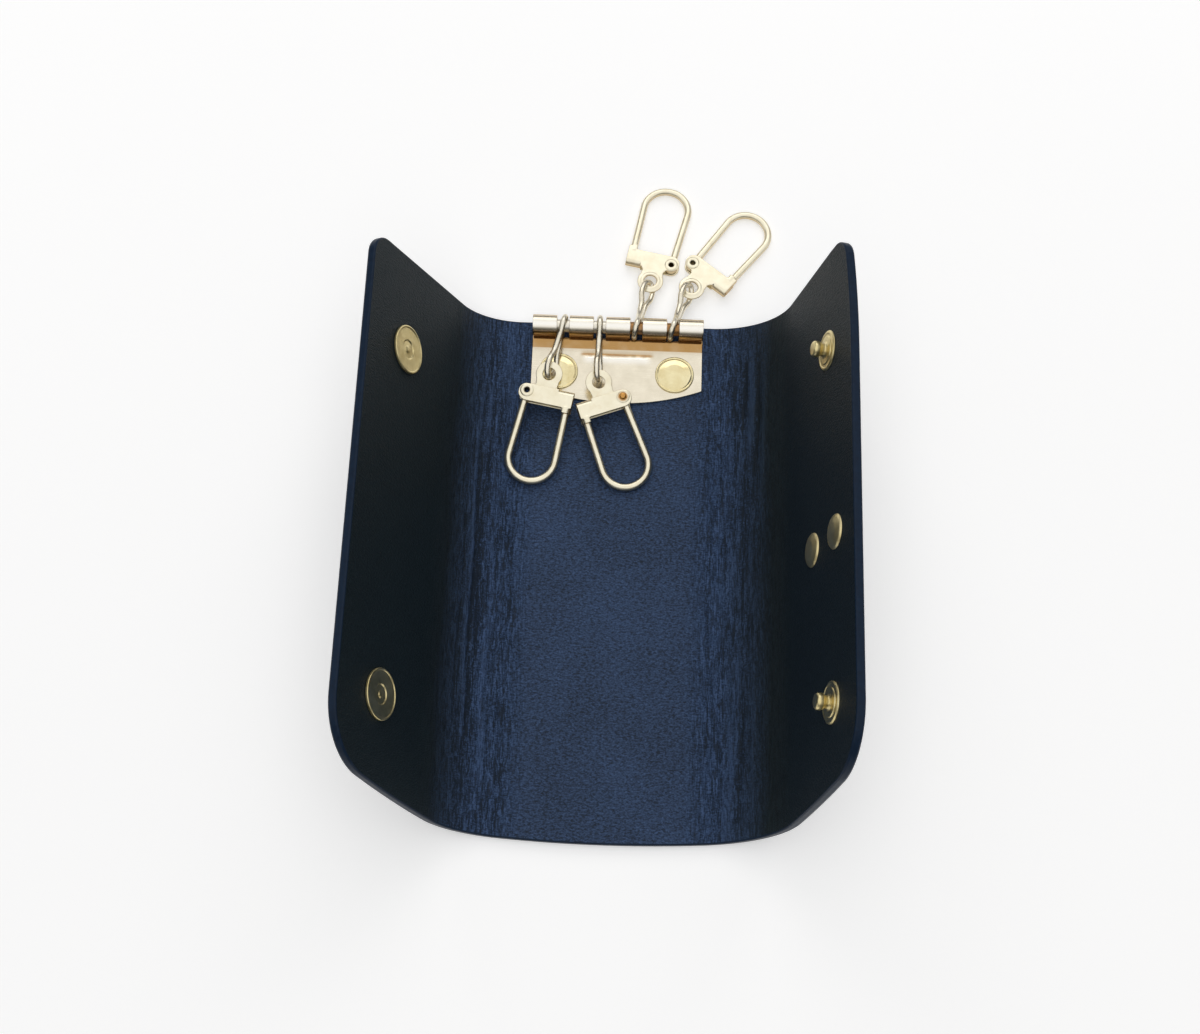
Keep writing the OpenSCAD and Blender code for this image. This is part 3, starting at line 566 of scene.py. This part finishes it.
# one stretch of one layer: a fine face, a rounded painted edge, a plain hidden face and flat seams
def leatherPiece(name, side, s0, s1, isLining, bodies, node, isFlap=False):
    sign, join, edgeIn = side["sign"], leather["outer"], leather["edgeIn"]
    face = leather["whole"] if isLining else 0
    columns = columnPlaces(side, s0, s1, len(bodies) > 1, isFlap)
    low, lowOut, high, highOut = columnEnds(side, columns, edgeIn)
    t = np.linspace(0, 1, int(leather["length"]/leather["rowStep"]) + 1)[None, :, None]
    flat = low[:, None, :]*(1 - t) + high[:, None, :]*t  # column, row, (s, y)

    def faceAt(points):
        s, y = points[..., 0], points[..., 1]
        return bent(side, s, y, faceHeight(sign*s, y, isLining))

    def normalAt(points):
        slopes = [faceAt(points + way) - faceAt(points - way) for way in np.eye(2)*leather["probe"]]
        cross = np.cross(*slopes)*sign*(1 if isLining else -1)
        return cross/norm(cross, axis=-1, keepdims=True)
    rows = faceAt(flat), normalAt(flat), flat
    vertices, normals, places = [list(row.reshape(-1, row.shape[-1])) for row in rows]
    columnCount, rowCount = flat.shape[:2]
    index = np.arange(columnCount*rowCount).reshape(columnCount, rowCount)
    grid = np.stack([index[:-1, :-1], index[1:, :-1], index[1:, 1:], index[:-1, 1:]], -1).reshape(-1, 4).tolist()
    # edge paths over the grid's border: bottom, then the flap's far side, then top
    bottomPath, topPath = list(zip(index[:, 0], lowOut)), list(zip(index[:, -1], highOut))
    sidePath = [(start, np.array((1, 0))) for start in index[-1, 1:-1]]
    edge, rims = [], {}
    for path in [bottomPath + sidePath + topPath[::-1]] if isFlap else [bottomPath, topPath]:
        previous = None
        for start, out in path:
            out = out/norm(out)
            near, far = [bent(side, *(places[start] + out*step), face) for step in (-0.05, 0.05)]
            away = (far - near)/norm(far - near)
            chain = [start]
            for share, inset, tilt in edgeShape:
                chain.append(len(vertices))
                places.append(places[start] + out*(edgeIn - inset))
                vertices.append(bent(side, *places[-1], join + (face - join)*share))
                normals.append(away*cos(tilt) + normals[start]*sin(tilt))
            if previous:
                edge += zip(previous, chain, chain[1:], previous[1:])
            previous = rims[start] = chain
    hidden = []
    for j in range(columnCount - 1):
        around = [index[j, 0], index[j + 1, 0]]
        if isFlap and j == columnCount - 2:
            around += list(index[-1, 1:-1])
        around += [index[j + 1, -1], index[j, -1]]
        hidden.append([rims[start][-1] for start in around])
    for j in (0,) if isFlap else (0, columnCount - 1):
        hidden.append(rims[index[j, 0]][::-1] + list(index[j, 1:-1]) + rims[index[j, -1]])

    piece = toObject(name, np.array(vertices)*mm, grid + edge + hidden, lining if isLining else outerLeather, edgePaint)
    mesh = piece.data
    edited(mesh, faceOutwards)
    mesh.polygons.foreach_set("material_index", [0]*len(grid) + [1]*len(edge) + [0]*len(hidden))
    u, y = np.array(places).T*((sign,), (1,))
    loopVertex = np.zeros(len(mesh.loops), int)
    mesh.loops.foreach_get("vertex_index", loopVertex)
    sheetMap = mesh.uv_layers.new(name="sheet")
    sheetMap.data.foreach_set("uv", (np.stack([u, y], -1)[loopVertex]*mm).astype(np.float32).ravel())
    # wrinkle height, which the leather finish turns into wear on the crests and painted shade in the valleys
    paint(mesh, "creaseWearAndShade", np.clip(creases(u, y + (0 if isLining else leather["outerShift"]))/0.16, -1, 1))
    paint(mesh, "foldShare", foldShare(u))
    loopNormals = np.array(normals)[loopVertex]
    for polygon in mesh.polygons[len(grid) + len(edge):]:
        loopNormals[polygon.loop_start:polygon.loop_start + polygon.loop_total] = polygon.normal
    mesh.normals_split_custom_set([tuple(normal) for normal in loopNormals])
    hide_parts(node)
    if len(bodies) == 1:
        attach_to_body(piece, bodies[0])
        return
    first, last = [Vector(bent(side, s, 0, leather["blendHeight"])*mm) for s in (s0, s0 + side["strip"])]
    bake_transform(piece)


def makeLeather():
    for isLining, layer in ((False, "outer"), (True, "lining")):
        title = layer.title()
        leatherPiece(f"centre{title}", sides["right"], -sides["left"]["start"], sides["right"]["start"], isLining,
                     ["centre"], f"centre_{layer}")
        for word, side in sides.items():
            bodies = ["centre", f"{word}_strip1", f"{word}_strip2", f"{word}_strip3", f"{word}_flap"]
            starts = [side["start"] + k*side["strip"] for k in range(4)]
            for k in range(3):
                leatherPiece(f"{word}Fold{k + 1}{title}", side, starts[k], starts[k] + side["strip"], isLining,
                             bodies[k:k + 2], f"{word}_strip{k + 1}_{layer}")
            leatherPiece(f"{word}Flap{title}", side, starts[3], side["reach"], isLining,
                         bodies[3:], f"{word}_flap_{layer}", isFlap=True)


makeLeather()
print("leather ready")


# key rack in mm, its roll in degrees about the rod
rack = dict(
    width=37.4, sheet=0.6, rodY=55, rodZ=4.95, barrel=4.7, gap=2.7, barrels=5, step=0.8, stepRun=1.6, lip=2.5,
    notch=1.95, side=13.4, bow=3.5, barWidth=16.2, barDepth=3.1, barRise=0.3, barIn=5, barSide=2, barFoot=2,
    barHead=2.1, rollStart=-90, rollEnd=222, rollSteps=48, plateRows=60, softEdge=0.09, column=0.36)
barrelWidth = (rack["width"] - (rack["barrels"] - 1)*rack["gap"])/rack["barrels"]
gapCentres = [-rack["width"]/2 + barrelWidth + rack["gap"]/2 + i*(barrelWidth + rack["gap"])
              for i in range(rack["barrels"] - 1)]


def softStep(value):
    value = np.clip(value, 0, 1)
    return value*value*(3 - 2*value)


# side view of the sheet from its flat part over the step and round the rod, and its angle in the roll
def rackProfile(level):
    rodY, high = rack["rodY"], level + rack["step"]
    flatY = rodY - rack["lip"] - rack["stepRun"]
    bend = rounded([(flatY - 1, level, 0), (flatY, level, 0.7), (flatY + rack["stepRun"], high, 0.5),
                    (rodY - rack["notch"], high, 0)], 4)
    size = (rack["barrel"] - rack["sheet"])/2
    turn = (rack["rollEnd"] - rack["rollStart"])/rack["rollSteps"]
    roll = [rack["rollStart"] + turn*k for k in range(rack["rollSteps"] + 1)]
    barrel = [(rodY + size*cos(a), rack["rodZ"] + size*sin(a)) for a in map(radians, roll)]
    return bend + [(rodY - 1, high)] + barrel, len(bend), [0]*(len(bend) + 1) + roll


def makeRack():
    level = leather["whole"] + rack["sheet"]/2
    plateRows, flatY = rack["plateRows"], rack["rodY"] - rack["lip"] - rack["stepRun"]
    profile, bendRows, roll = rackProfile(level)
    edges, isGap = [-rack["width"]/2], []
    for i in range(2*rack["barrels"] - 1):
        wide = rack["gap"] if i % 2 else barrelWidth
        count = int(round(wide/rack["column"]))
        isGap += [i % 2]*count
        edges += list(np.linspace(edges[-1], edges[-1] + wide, count + 1)[1:])
    edges = np.array(edges)
    arc = (rack["width"]**2/4 + rack["bow"]**2)/(2*rack["bow"])
    lowY = rack["rodY"] - rack["side"] - rack["bow"] + arc - np.sqrt(arc**2 - edges**2)
    points = []
    for x, low in zip(edges, lowY):
        points += [(x, low + (profile[0][0] - low)*i/plateRows, level) for i in range(plateRows)]
        points += [(x, y, z) for y, z in profile]
    points = np.array(points)
    x, y = np.abs(points[:, 0]), points[:, 1]
    barLow = rack["rodY"] - rack["barIn"] - rack["barDepth"]
    barHigh, barHalf = barLow + rack["barDepth"], rack["barWidth"]/2
    rise = softStep((barHalf - x)/rack["barSide"])*softStep((y - barLow)/rack["barFoot"])
    rise *= softStep((barHigh - y)/rack["barHead"])
    points[:, 2] += np.where(y < flatY, rise*rack["barRise"], 0)
    # painted reflection and painted highlight: browner on the bar's upper slope, on the step and under the barrels,
    # paler along the barrels' tops and over the raised bar
    barEdgeReflection = np.exp(-((y - barHigh + 0.45)/0.4)**2)*softStep((barHalf + 0.3 - x)/1.2)
    stepReflection = softStep((y - flatY + 0.3)/0.5)*softStep((rack["rodY"] - 1.1 - y)/1.2)
    paintedReflection = np.maximum(barEdgeReflection*0.95, stepReflection) - rise*0.9*(1 - barEdgeReflection)
    angle = np.tile([0]*plateRows + roll, len(edges))
    # painted highlight across the barrels' upper middle, painted reflection browner under their front and a little over
    # their back
    paintedReflection -= 0.85*np.exp(-((angle - 106)/20)**2)
    paintedReflection += np.where(angle > 120, 0.5*softStep((angle - 138)/30), 0) + np.where((angle > 5) & (angle < 70), 0.3, 0)
    rows = plateRows + len(profile)
    faces = [(j*rows + i, (j + 1)*rows + i, (j + 1)*rows + i + 1, j*rows + i + 1)
             for j, gap in enumerate(isGap) for i in range(rows - 1) if not gap or i < plateRows + bendRows - 1]
    piece = toObject("rackSheet", points*mm, faces, rackMetal)
    paint(piece.data, "paintedReflection", paintedReflection)
    edited(piece.data, dropLoosePoints)
    wall = piece.modifiers.new("wall", "SOLIDIFY")
    wall.thickness, wall.offset, wall.use_even_offset = rack["sheet"]*mm, 0, True
    soft = piece.modifiers.new("soft", "BEVEL")
    soft.width, soft.segments = rack["softEdge"]*mm, 2
    soft.limit_method, soft.angle_limit = "ANGLE", radians(50)
    attach(plain(piece), "centre", "rack", "rack_plate")


makeRack()
for node, finish in (("rack_rod", rodMetal), ("rack_washers", snapMetal)):
    part = frame["nodes"][node]
    part.data.materials.clear()
    part.data.materials.append(finish)
print("rack ready")


# turned fasteners as (radius, height, rounding), from the leather's face up or down
profiles = dict(
    rackRivets=[
        (0, 0.8, 0), (2.2, 0.72, 3), (3.55, 0.44, 1.2), (3.78, 0.3, 0.12), (3.95, 0.42, 0.12), (4.25, 0.34, 0.2),
        (4.25, -0.02, 0.1), (0, -0.02, 0)],
    flapRivets=[(0, 1.02, 0), (1.9, 0.88, 2.4), (3.2, 0.42, 1), (3.5, 0.05, 0.2), (3.4, -0.02, 0.05), (0, -0.02, 0)],
    socketCaps=[
        (0, 0.44, 0), (0.45, 0.42, 0.2), (0.85, 0.24, 0.25), (1.8, 0.2, 0.2), (2.05, 0.38, 0.12), (3.4, 0.42, 1),
        (4.5, 0.5, 0.4), (4.72, 0.66, 0.12), (5, 0.6, 0.16), (5.05, 0.1, 0.15), (4.8, -0.02, 0.1), (0, -0.02, 0)],
    sockets=[
        (1.75, -0.02, 0.05), (4.3, -0.02, 0.05), (4.3, -0.55, 0.2), (3.75, -0.75, 0.25), (3.55, -1.6, 0.35),
        (3, -1.8, 0.3), (2.5, -1.72, 0.2), (2.1, -1.35, 0.2), (1.75, -1.2, 0.1)],
    studs=[
        (0, 3.3, 0), (1.65, 3.3, 0.8), (1.65, 2, 0.5), (1.25, 1.6, 0.3), (1.25, 0.95, 0.3), (1.75, 0.62, 0.3),
        (2.75, 0.58, 0.2), (2.95, 0.36, 0.1), (3.35, 0.36, 0.1), (3.5, 0.46, 0.08), (3.8, 0.42, 0.1), (4.1, 0.2, 0.15),
        (4.1, -0.02, 0.05), (0, -0.02, 0)],
    studCaps=[
        (0, -0.6, 0), (3.6, -0.58, 1.5), (4.75, -0.42, 0.5), (5.05, -0.14, 0.12), (5, 0.02, 0.05), (0, 0.02, 0)])


# a profile upside down
def flipped(profile): return [(radius, -height, corner) for radius, height, corner in profile]


profiles["flapRivetCaps"] = flipped(profiles["flapRivets"])


# the flap's own frame: x along it from its fold, z out of its lining
def flapFrame(side):
    bends = [side["turn"]/4*j for j in (1, 2, 3)]
    x = side["width"] + side["strip"]*sum(cos(bend) for bend in bends)
    z = side["strip"]*sum(sin(bend) for bend in bends)
    c, s = cos(side["turn"]), sin(side["turn"])
    along, normal = Vector((side["sign"]*c, 0, s)), Vector((-side["sign"]*s, 0, c))
    turn = Matrix((along, normal.cross(along), normal)).transposed().to_4x4()
    return Matrix.Translation(Vector((side["sign"]*x, 0, z))*mm) @ turn


# two of a kind: the first at start, the other a step further
def fastenerPair(name, finish, start, step, place, body, *nodes, ring=False):
    piece = turned(name, profiles[name], 5, 72, ring, finish, scale=mm)
    start, step = [tuple(v*mm for v in way) for way in (start, step)]
    grow(piece, fastenerRow, Count=2, Start=start, Step=step, Material=finish)
    piece.data.transform(place)
    attach(piece, body, "fittings", *nodes)


def makeFasteners():
    (upper, lower), top, snapX, onRack = snapRows, leather["whole"], fasteners["snapX"], fasteners["rackRivetPitch"]
    fastenerPair("rackRivets", rivetMetal, (-onRack/2, rack["rodY"] - fasteners["rackRivetIn"], top + rack["sheet"]),
                 (onRack, 0, 0), Matrix(), "centre", "rack_rivets")
    left, right = [(flapFrame(sides[word]), f"{word}_flap") for word in ("left", "right")]
    socket, stud = (sides["left"]["width"] + snapX, -upper), (sides["right"]["width"] - snapX, upper)
    for name, spot, height, run, flap, node in (
            ("socketCaps", socket, top, upper - lower, left, "socket_cap"),
            ("sockets", socket, 0, upper - lower, left, "socket"),
            ("studs", stud, top, lower - upper, right, "stud"),
            ("studCaps", stud, 0, lower - upper, right, "stud_cap")):
        fastenerPair(name, snapMetal, (*spot, height), (0, run, 0), *flap, f"{node}_upper", f"{node}_lower",
                     ring=name == "sockets")
    spot, gap = (fasteners["flapRivetIn"], -fasteners["flapRivetLow"]), (fasteners["flapRivetPitch"], 0, 0)
    fastenerPair("flapRivets", flapMetal, (*spot, top), gap, *right, "flap_rivets")
    fastenerPair("flapRivetCaps", flapMetal, (*spot, 0), gap, *right, "flap_rivet_caps")


makeFasteners()
print("fasteners ready")


# hook in mm, with its loop's pivot at the origin and the loop along y
hook = dict(wire=1.6, loopWidth=11.7, loopLength=20.05, loopOut=0.85, catchX=9.1, leaf=0.9, inner=0.78, outer=1.18,
            left=-1.8, right=10.2, low=-1.6, high=2.2, corner=1.8, bore=0.9, spine=-0.45, spineFrom=6.55, wall=0.36,
            eyeX=3.7, eyeY=5, eyeHole=1.35, eyeOut=2.9, collar=(1.9, 3.35), voxel=0.085, smoothing=9)
links = dict(wire=1, drawn=1.3, length=12.8)
# each chain: link's yaw, pitch and twist, hook's yaw and pitch, and where the link lies in the hook's eye
chains = [
    dict(yaw=-12, lift=2, twist=28, hookYaw=-10.5, hookLift=8.4, over=True, mirrored=False, inEye=(0, 0.7)),
    dict(yaw=0, lift=2, twist=14, hookYaw=20.5, hookLift=8.4, over=True, mirrored=True, inEye=(0, -0.8)),
    dict(yaw=-12.5, lift=-10, twist=-46, hookYaw=-11, hookLift=2.4, over=False, mirrored=True, inEye=(0, -0.6)),
    dict(yaw=-16.5, lift=-10, twist=-40, hookYaw=-38, hookLift=2.4, over=False, mirrored=False, inEye=(-0.85, 0.2))]


def turnX(angle): return Matrix.Rotation(radians(angle), 4, "X")
def turnZ(angle): return Matrix.Rotation(radians(angle), 4, "Z")
def shift(*way): return Matrix.Translation(way)


def linkFrame(chain, gapX):
    return shift(gapX, rack["rodY"], rack["rodZ"]) @ turnZ(chain["yaw"] + 180*chain["over"]) @ turnX(chain["lift"])


def hookFrame(chain, gapX):
    room = hook["eyeHole"] - links["wire"]/2
    flip, lift = (180, chain["hookLift"]) if chain["over"] else (0, -chain["hookLift"])
    eye = linkFrame(chain, gapX) @ shift(0, links["length"], 0) @ turnX(-chain["lift"]) @ turnZ(-chain["yaw"] - flip)
    return (eye @ turnZ(chain["hookYaw"]) @ turnX(flip + lift) @ shift(0, 0, -hook["leaf"])
            @ Matrix.Diagonal((-1 if chain["mirrored"] else 1, 1, 1, 1))
            @ shift(-hook["eyeX"] - room*chain["inEye"][0], hook["eyeY"] - room*chain["inEye"][1], 0))


# a piece made in mm, put in its place on a chain
def hang(piece, place, body, node):
    piece.data.transform(Matrix.Scale(mm, 4) @ place)
    if place.determinant() < 0:
        piece.data.flip_normals()
    attach(piece, body, "hook_metal", node)


# smooth closed curve through points
def through(points, steps):
    points, path = [np.array(p, float) for p in points], []
    for i in range(len(points)):
        a, b, c, d = [points[k % len(points)] for k in (i - 1, i, i + 1, i + 2)]
        for k in range(steps):
            t = k/steps
            path.append(0.5*(2*b + (c - a)*t + (2*a - 5*b + 4*c - d)*t*t + (3*b - a - 3*c + d)*t**3))
    return path


def wirePiece(name, path, diameter, material, closed=False, tip=0):
    mesh = bpy.data.meshes.new(name)
    count = len(path)
    edges = [(i, (i + 1) % count) for i in range(count if closed else count - 1)]
    mesh.from_pydata([tuple(p) for p in path], edges, [])
    thick = [1]*count
    if tip:  # the last point is rounded off over this length
        steps = norm(np.diff(path[::-1], axis=0), axis=1)
        fromEnd = np.cumsum([0, *steps])[::-1]
        thick = [sqrt(max(0.02, 1 - max(0, 1 - gone/tip)**2)) for gone in fromEnd]
    paint(mesh, "thickShare", thick)
    return grow(newObject(name, mesh), wireSweep, Diameter=diameter, Sides=20, Material=material)


# one side of a pinched ring as (place along it, half width); its far end is twisted against the near one
linkShape = [(-2, 0), (-1.42, 1.42), (0, 2), (1.35, 1.6), (2.5, 1.02), (3.7, 0.68), (5.2, 0.57), (6.5, 0.62),
             (7.7, 1), (8.8, 1.42), (10.1, 1.55), (11.4, 1.38), (12.38, 0.85), (12.8, 0)]


def linkPath(twist):
    there = []
    for y, half in linkShape:
        angle = radians(twist)*float(softStep((y - 1.6)/4.6))
        there.append((half*sin(angle), y, half*cos(angle)))
    return through(there + [(-x, y, -z) for x, y, z in there[-2:0:-1]], 5)


# from the pivot round the loop to its free end in the catch
def loopPath():
    outer = hook["loopWidth"]/2 - hook["wire"]/2
    mid = np.array((outer - hook["loopOut"], hook["loopLength"] - hook["loopWidth"]/2))
    free = np.array((hook["catchX"], -hook["wire"]/2))
    spans = [norm(mid), norm(mid - free)]
    first = atan2(-mid[1], -mid[0]) - acos(outer/spans[0])
    last = atan2(free[1] - mid[1], free[0] - mid[0]) + acos(outer/spans[1])
    if last > first:
        last -= 2*pi
    arc = [mid + outer*np.array((cos(a), sin(a))) for a in np.linspace(first, last, 44)]
    legIn = [arc[0]*t for t in np.linspace(0.09, 0.97, 14)]
    legOut = [arc[-1] + (free - arc[-1])*t for t in (*np.linspace(0.04, 0.95, 14), 0.97, 0.98, 0.99, 0.996, 1)]
    return [(x, y, 0) for x, y in legIn + arc + legOut]


def addSolid(work, vertices, faces):
    made = [work.verts.new(v) for v in vertices]
    for f in faces:
        work.faces.new([made[k] for k in f])


# an outline in (x, y) from z0 to z1, or one in the other two axes drawn out along x or y
def addSlab(work, outline, z0, z1, along="z"):
    count, at = len(outline), "xyz".index(along)
    vertices = [(*point[:at], z, *point[at:]) for z in (z0, z1) for point in outline]
    walls = [(k, (k + 1) % count, (k + 1) % count + count, k + count) for k in range(count)]
    addSolid(work, vertices, [tuple(range(count))[::-1], tuple(range(count, 2*count)), *walls])


def oblong(a0, a1, b0, b1):
    return [(a0, b0), (a1, b0), (a1, b1), (a0, b1)]


# plate with a round hole at the origin, in an outline that bends to the left all the way round
def addHoledSlab(work, outline, hole, z0, z1, rays=72):
    starts, ring = np.array(outline), []
    edges = np.roll(starts, -1, 0) - starts
    for angle in [2*pi*k/rays for k in range(rays)]:
        way = np.array((cos(angle), sin(angle)))
        spans, crosses = [spot[..., 0]*edges[:, 1] - spot[..., 1]*edges[:, 0] for spot in (starts, way)]
        ahead = crosses > 1e-9
        ring.append((way*hole, way*min(spans[ahead]/crosses[ahead])))
    vertices, faces, up = [(*p, z) for z in (z0, z1) for pair in ring for p in pair], [], 2*rays
    for k in range(rays):
        n = (k + 1) % rays
        a, b, c, d = 2*k, 2*k + 1, 2*n + 1, 2*n
        faces += [(a, d, c, b), (a + up, b + up, c + up, d + up), (b, c, c + up, b + up), (a, a + up, d + up, d)]
    addSolid(work, vertices, faces)


# points of an arc as (a, b), the angles in degrees
def arcOf(centre, radii, start, end, count):
    return [(centre[0] + radii[0]*cos(a), centre[1] + radii[1]*sin(a))
            for a in np.linspace(radians(start), radians(end), count)]


def addHookSolids(work):
    inner, outer, left, right, low, high = [hook[key] for key in ("inner", "outer", "left", "right", "low", "high")]
    spine, eye = hook["spine"], (hook["eyeX"], -hook["eyeY"])
    end = rounded([(left, low, hook["corner"]), (1.9, low, 0), (1.9, high, 0), (left, high, hook["corner"])], 6, True)
    for z0, z1 in ((inner, outer), (-outer, -inner)):  # front and back leaf
        addHoledSlab(work, end, hook["bore"], z0, z1)
        addSlab(work, oblong(1.75, 6.8, low, high), z0, z1)
        addSlab(work, oblong(6.6, right - 0.1, low + 0.85, high), z0, z1)
        addSlab(work, oblong(left + 1.6, right - 0.6, high - 0.22, high + 0.06), z0, z1)
    bend = arcOf((spine, 0), (-outer, outer), -90, 90, 19) + arcOf((spine, 0), (-inner, inner), 90, -90, 19)
    addSlab(work, bend, hook["spineFrom"], right, "x")
    addSlab(work, oblong(-0.6, high, 0.1 - outer, outer - 0.1), right - hook["wall"], right, "x")
    # tab behind the wire, then the eye and its neck
    addSlab(work, [(8.2, 0), (right, 0), (right, 3), (8.6, 3)], inner, outer)
    hole, out, lip = hook["eyeHole"], hook["eyeOut"], outer + 0.16
    rim = [(hole, inner, 0.1), (out, inner, 0.1), (out, outer - 0.06, 0.2), (2.3, outer, 0.4), (1.95, lip, 0.2),
           (1.55, lip, 0.15), (hole, outer - 0.1, 0.1)]
    vertices, faces = lathe(rounded(rim, 3, True), 64, True)
    addSolid(work, [(x + eye[0], y + eye[1], z) for x, y, z in vertices], faces)
    neck = [(0.5, low + 0.5), (0.8, low), (1.35, -2.35), (1.2, -3.4)] + arcOf(eye, (2, 2), 150, 30, 13)
    addSlab(work, neck + [(6.2, -3.4), (6.05, -2.35), (6.6, low), (6.9, low + 0.5)], inner, outer)
    # collar round the free end of the wire, open on its inner side
    ring = arcOf((hook["catchX"] - 0.2, 0), (1.26, 1.3), -125, 125, 23)
    ring += arcOf((hook["catchX"] - 0.1, 0), (0.78, 0.76), 125, -125, 23)
    addSlab(work, ring, *hook["collar"], "y")


def hookBody():
    body = newObject("hookBody", bpy.data.meshes.new("hookBody"))
    edited(body.data, addHookSolids, faceOutwards)
    fuse = body.modifiers.new("fuse", "REMESH")
    fuse.mode, fuse.voxel_size, fuse.use_smooth_shade = "VOXEL", hook["voxel"], True
    even = body.modifiers.new("even", "SMOOTH")
    even.factor, even.iterations = 0.5, hook["smoothing"]
    plain(body)
    paintEdgeReflection(body.data, 0.9, 0.9)
    return body


# painted reflection: browner where the surface turns away from the hook's flat sides
def paintEdgeReflection(mesh, start, share):
    paint(mesh, "paintedReflection", [min(1, max(0, (start - abs(v.normal.z))/start))*share for v in mesh.vertices])


# pivots as (radius, height, rounding): hollow, or domed on the side that shows; and the loop's eye round them
tube = [(0.85, 1.15, 0), (1.45, 1.15, 0.05), (1.45, 1.3, 0.1), (1.2, 1.42, 0.1), (0.75, 1.42, 0.12), (0.55, 1.25, 0.1)]
hollowPivot = tube + flipped(tube[::-1])
domedPivot = [(0, -1, 0), (0.55, -1, 0), *tube[::-1], (0.85, -1.15, 0), (1.45, -1.15, 0.05), (1.45, -1.32, 0.1),
              (1.2, -1.42, 0.1), (0.95, -1.26, 0.05), (0.84, -1.34, 0.08), (0.62, -1.72, 0.4), (0, -1.94, 0)]
loopEye = [(0.9, -0.5, 0.08), (1.4, -0.5, 0.15), (1.4, 0.5, 0.15), (0.9, 0.5, 0.08)]


def makePivot(name, isDomed):
    profile = domedPivot if isDomed else hollowPivot
    pin = turned(name, profile, 4, 48, not isDomed, hookMetal, copperMetal, boreShadeMetal)
    for polygon in pin.data.polygons:
        radius, height = polygon.center.xy.length, polygon.center.z
        # faces inside the bore take the dark bore finish as painted shade
        isDome, isBore = isDomed and height < -1.2 and radius < 0.9, radius < 0.62 and abs(height) < 1.3
        polygon.material_index = 1 if isDome else 2 if isBore else 0
    return pin


def makeLoop(name):
    loop = wirePiece(name, loopPath(), hook["wire"], hookMetal, tip=0.5)
    eye = turned(name + "Eye", loopEye, 3, 40, True, hookMetal)
    edited(loop.data, lambda work: work.from_mesh(eye.data))
    bpy.data.objects.remove(eye)
    paintEdgeReflection(loop.data, 0.62, 0.85)
    return loop


def makeChains():
    body = hookBody()
    print("  hook body:", len(body.data.polygons), "faces")
    body.data.materials.clear()
    body.data.materials.append(hookMetal)
    for k, (chain, gapX) in enumerate(zip(chains, gapCentres), 1):
        link = wirePiece(f"link{k}", linkPath(chain["twist"]), links["drawn"], linkMetal, closed=True)
        hang(link, linkFrame(chain, gapX), f"link{k}", f"link_{k}")
        place = hookFrame(chain, gapX)
        hang(newObject(f"hook{k}", body.data.copy()), place, f"hook{k}", f"hook_{k}")
        hang(makePivot(f"pivot{k}", chain["mirrored"]), place, f"hook{k}", f"pivot_{k}")
        hang(makeLoop(f"loop{k}"), place, f"bail{k}", f"bail_{k}")
    bpy.data.objects.remove(body)


makeChains()
print("chains ready")


# floor, one soft lamp behind, and a tent of light: squeeze and spread say how wide leather and metal see it
studio = dict(floorSize=6, floorDrop=0.05, floorGlow=0.36, lampAt=(0, 0.85, 0.6), lampSize=(1.2, 0.5),
              lampPower=2.5, bright=1.45, dark=0.08, glow=0.14, squeeze=(1.7, 0.8, 1), spread=(0.22, 0.8, 1),
              tilt=(0, -0.06, 1))


def addLamp():
    lamp = bpy.data.lights.new("backSoftbox", "AREA")
    lamp.shape, lamp.energy, lamp.color = "RECTANGLE", studio["lampPower"], (1, 0.99, 0.975)
    lamp.size, lamp.size_y = studio["lampSize"]
    place = Vector(studio["lampAt"])
    turn = (-place).to_track_quat("-Z", "Y").to_matrix().to_4x4()
    newObject("backSoftbox", lamp).matrix_world = Matrix.Translation(place) @ turn


def makeFloor():
    half = studio["floorSize"]/2
    f = Finish("floorPaper")
    tone = f.blend(f.noise(3, 2), (0.84, 0.84, 0.84), (0.88, 0.88, 0.88))
    f.close(Base_Color=tone, Roughness=0.9, Emission_Color=(1, 1, 1),
            Emission_Strength=f.seenRays("Camera", "Glossy", "Transmission")*studio["floorGlow"])
    corners = [(x, y, -studio["floorDrop"]*mm) for x, y in oblong(-half, half, -half, half)]
    toObject("floor", corners, [(0, 1, 2, 3)], f.material)


def makeSky():
    scene.world = bpy.data.worlds.new("studio")
    sky = Finish("studio", scene.world)
    overhead = Vector(studio["tilt"]).normalized()

    # bright overhead and dim to the sides
    def tent(squeeze, low):
        way = sky.vector("MULTIPLY", sky.node("ShaderNodeTexCoord"), squeeze)
        share = sky.vector("DOT_PRODUCT", sky.vector("NORMALIZE", way), overhead, out="Value")
        return sky.ramp(share, (0.55, low), (0.7, low + 0.17), (0.84, 1))
    glossy = sky.seenRays("Glossy")
    forLeather = tent(studio["squeeze"], studio["dark"])*studio["bright"]
    level = forLeather*(1 - glossy) + tent(studio["spread"], studio["glow"])*glossy
    soft = sky.node("ShaderNodeBackground", {}, {"Color": (1, 1, 1, 1), "Strength": level})
    white = sky.node("ShaderNodeBackground", {}, {"Color": (1, 1, 1, 1), "Strength": 1})
    mixed = sky.node("ShaderNodeMixShader", {}, {0: sky.seenRays("Camera", "Transmission"), 1: soft, 2: white})
    sky.node("ShaderNodeOutputWorld", {}, {"Surface": mixed})


makeFloor()
addLamp()
makeSky()
scene.view_settings.view_transform = "Standard"
print("studio ready")
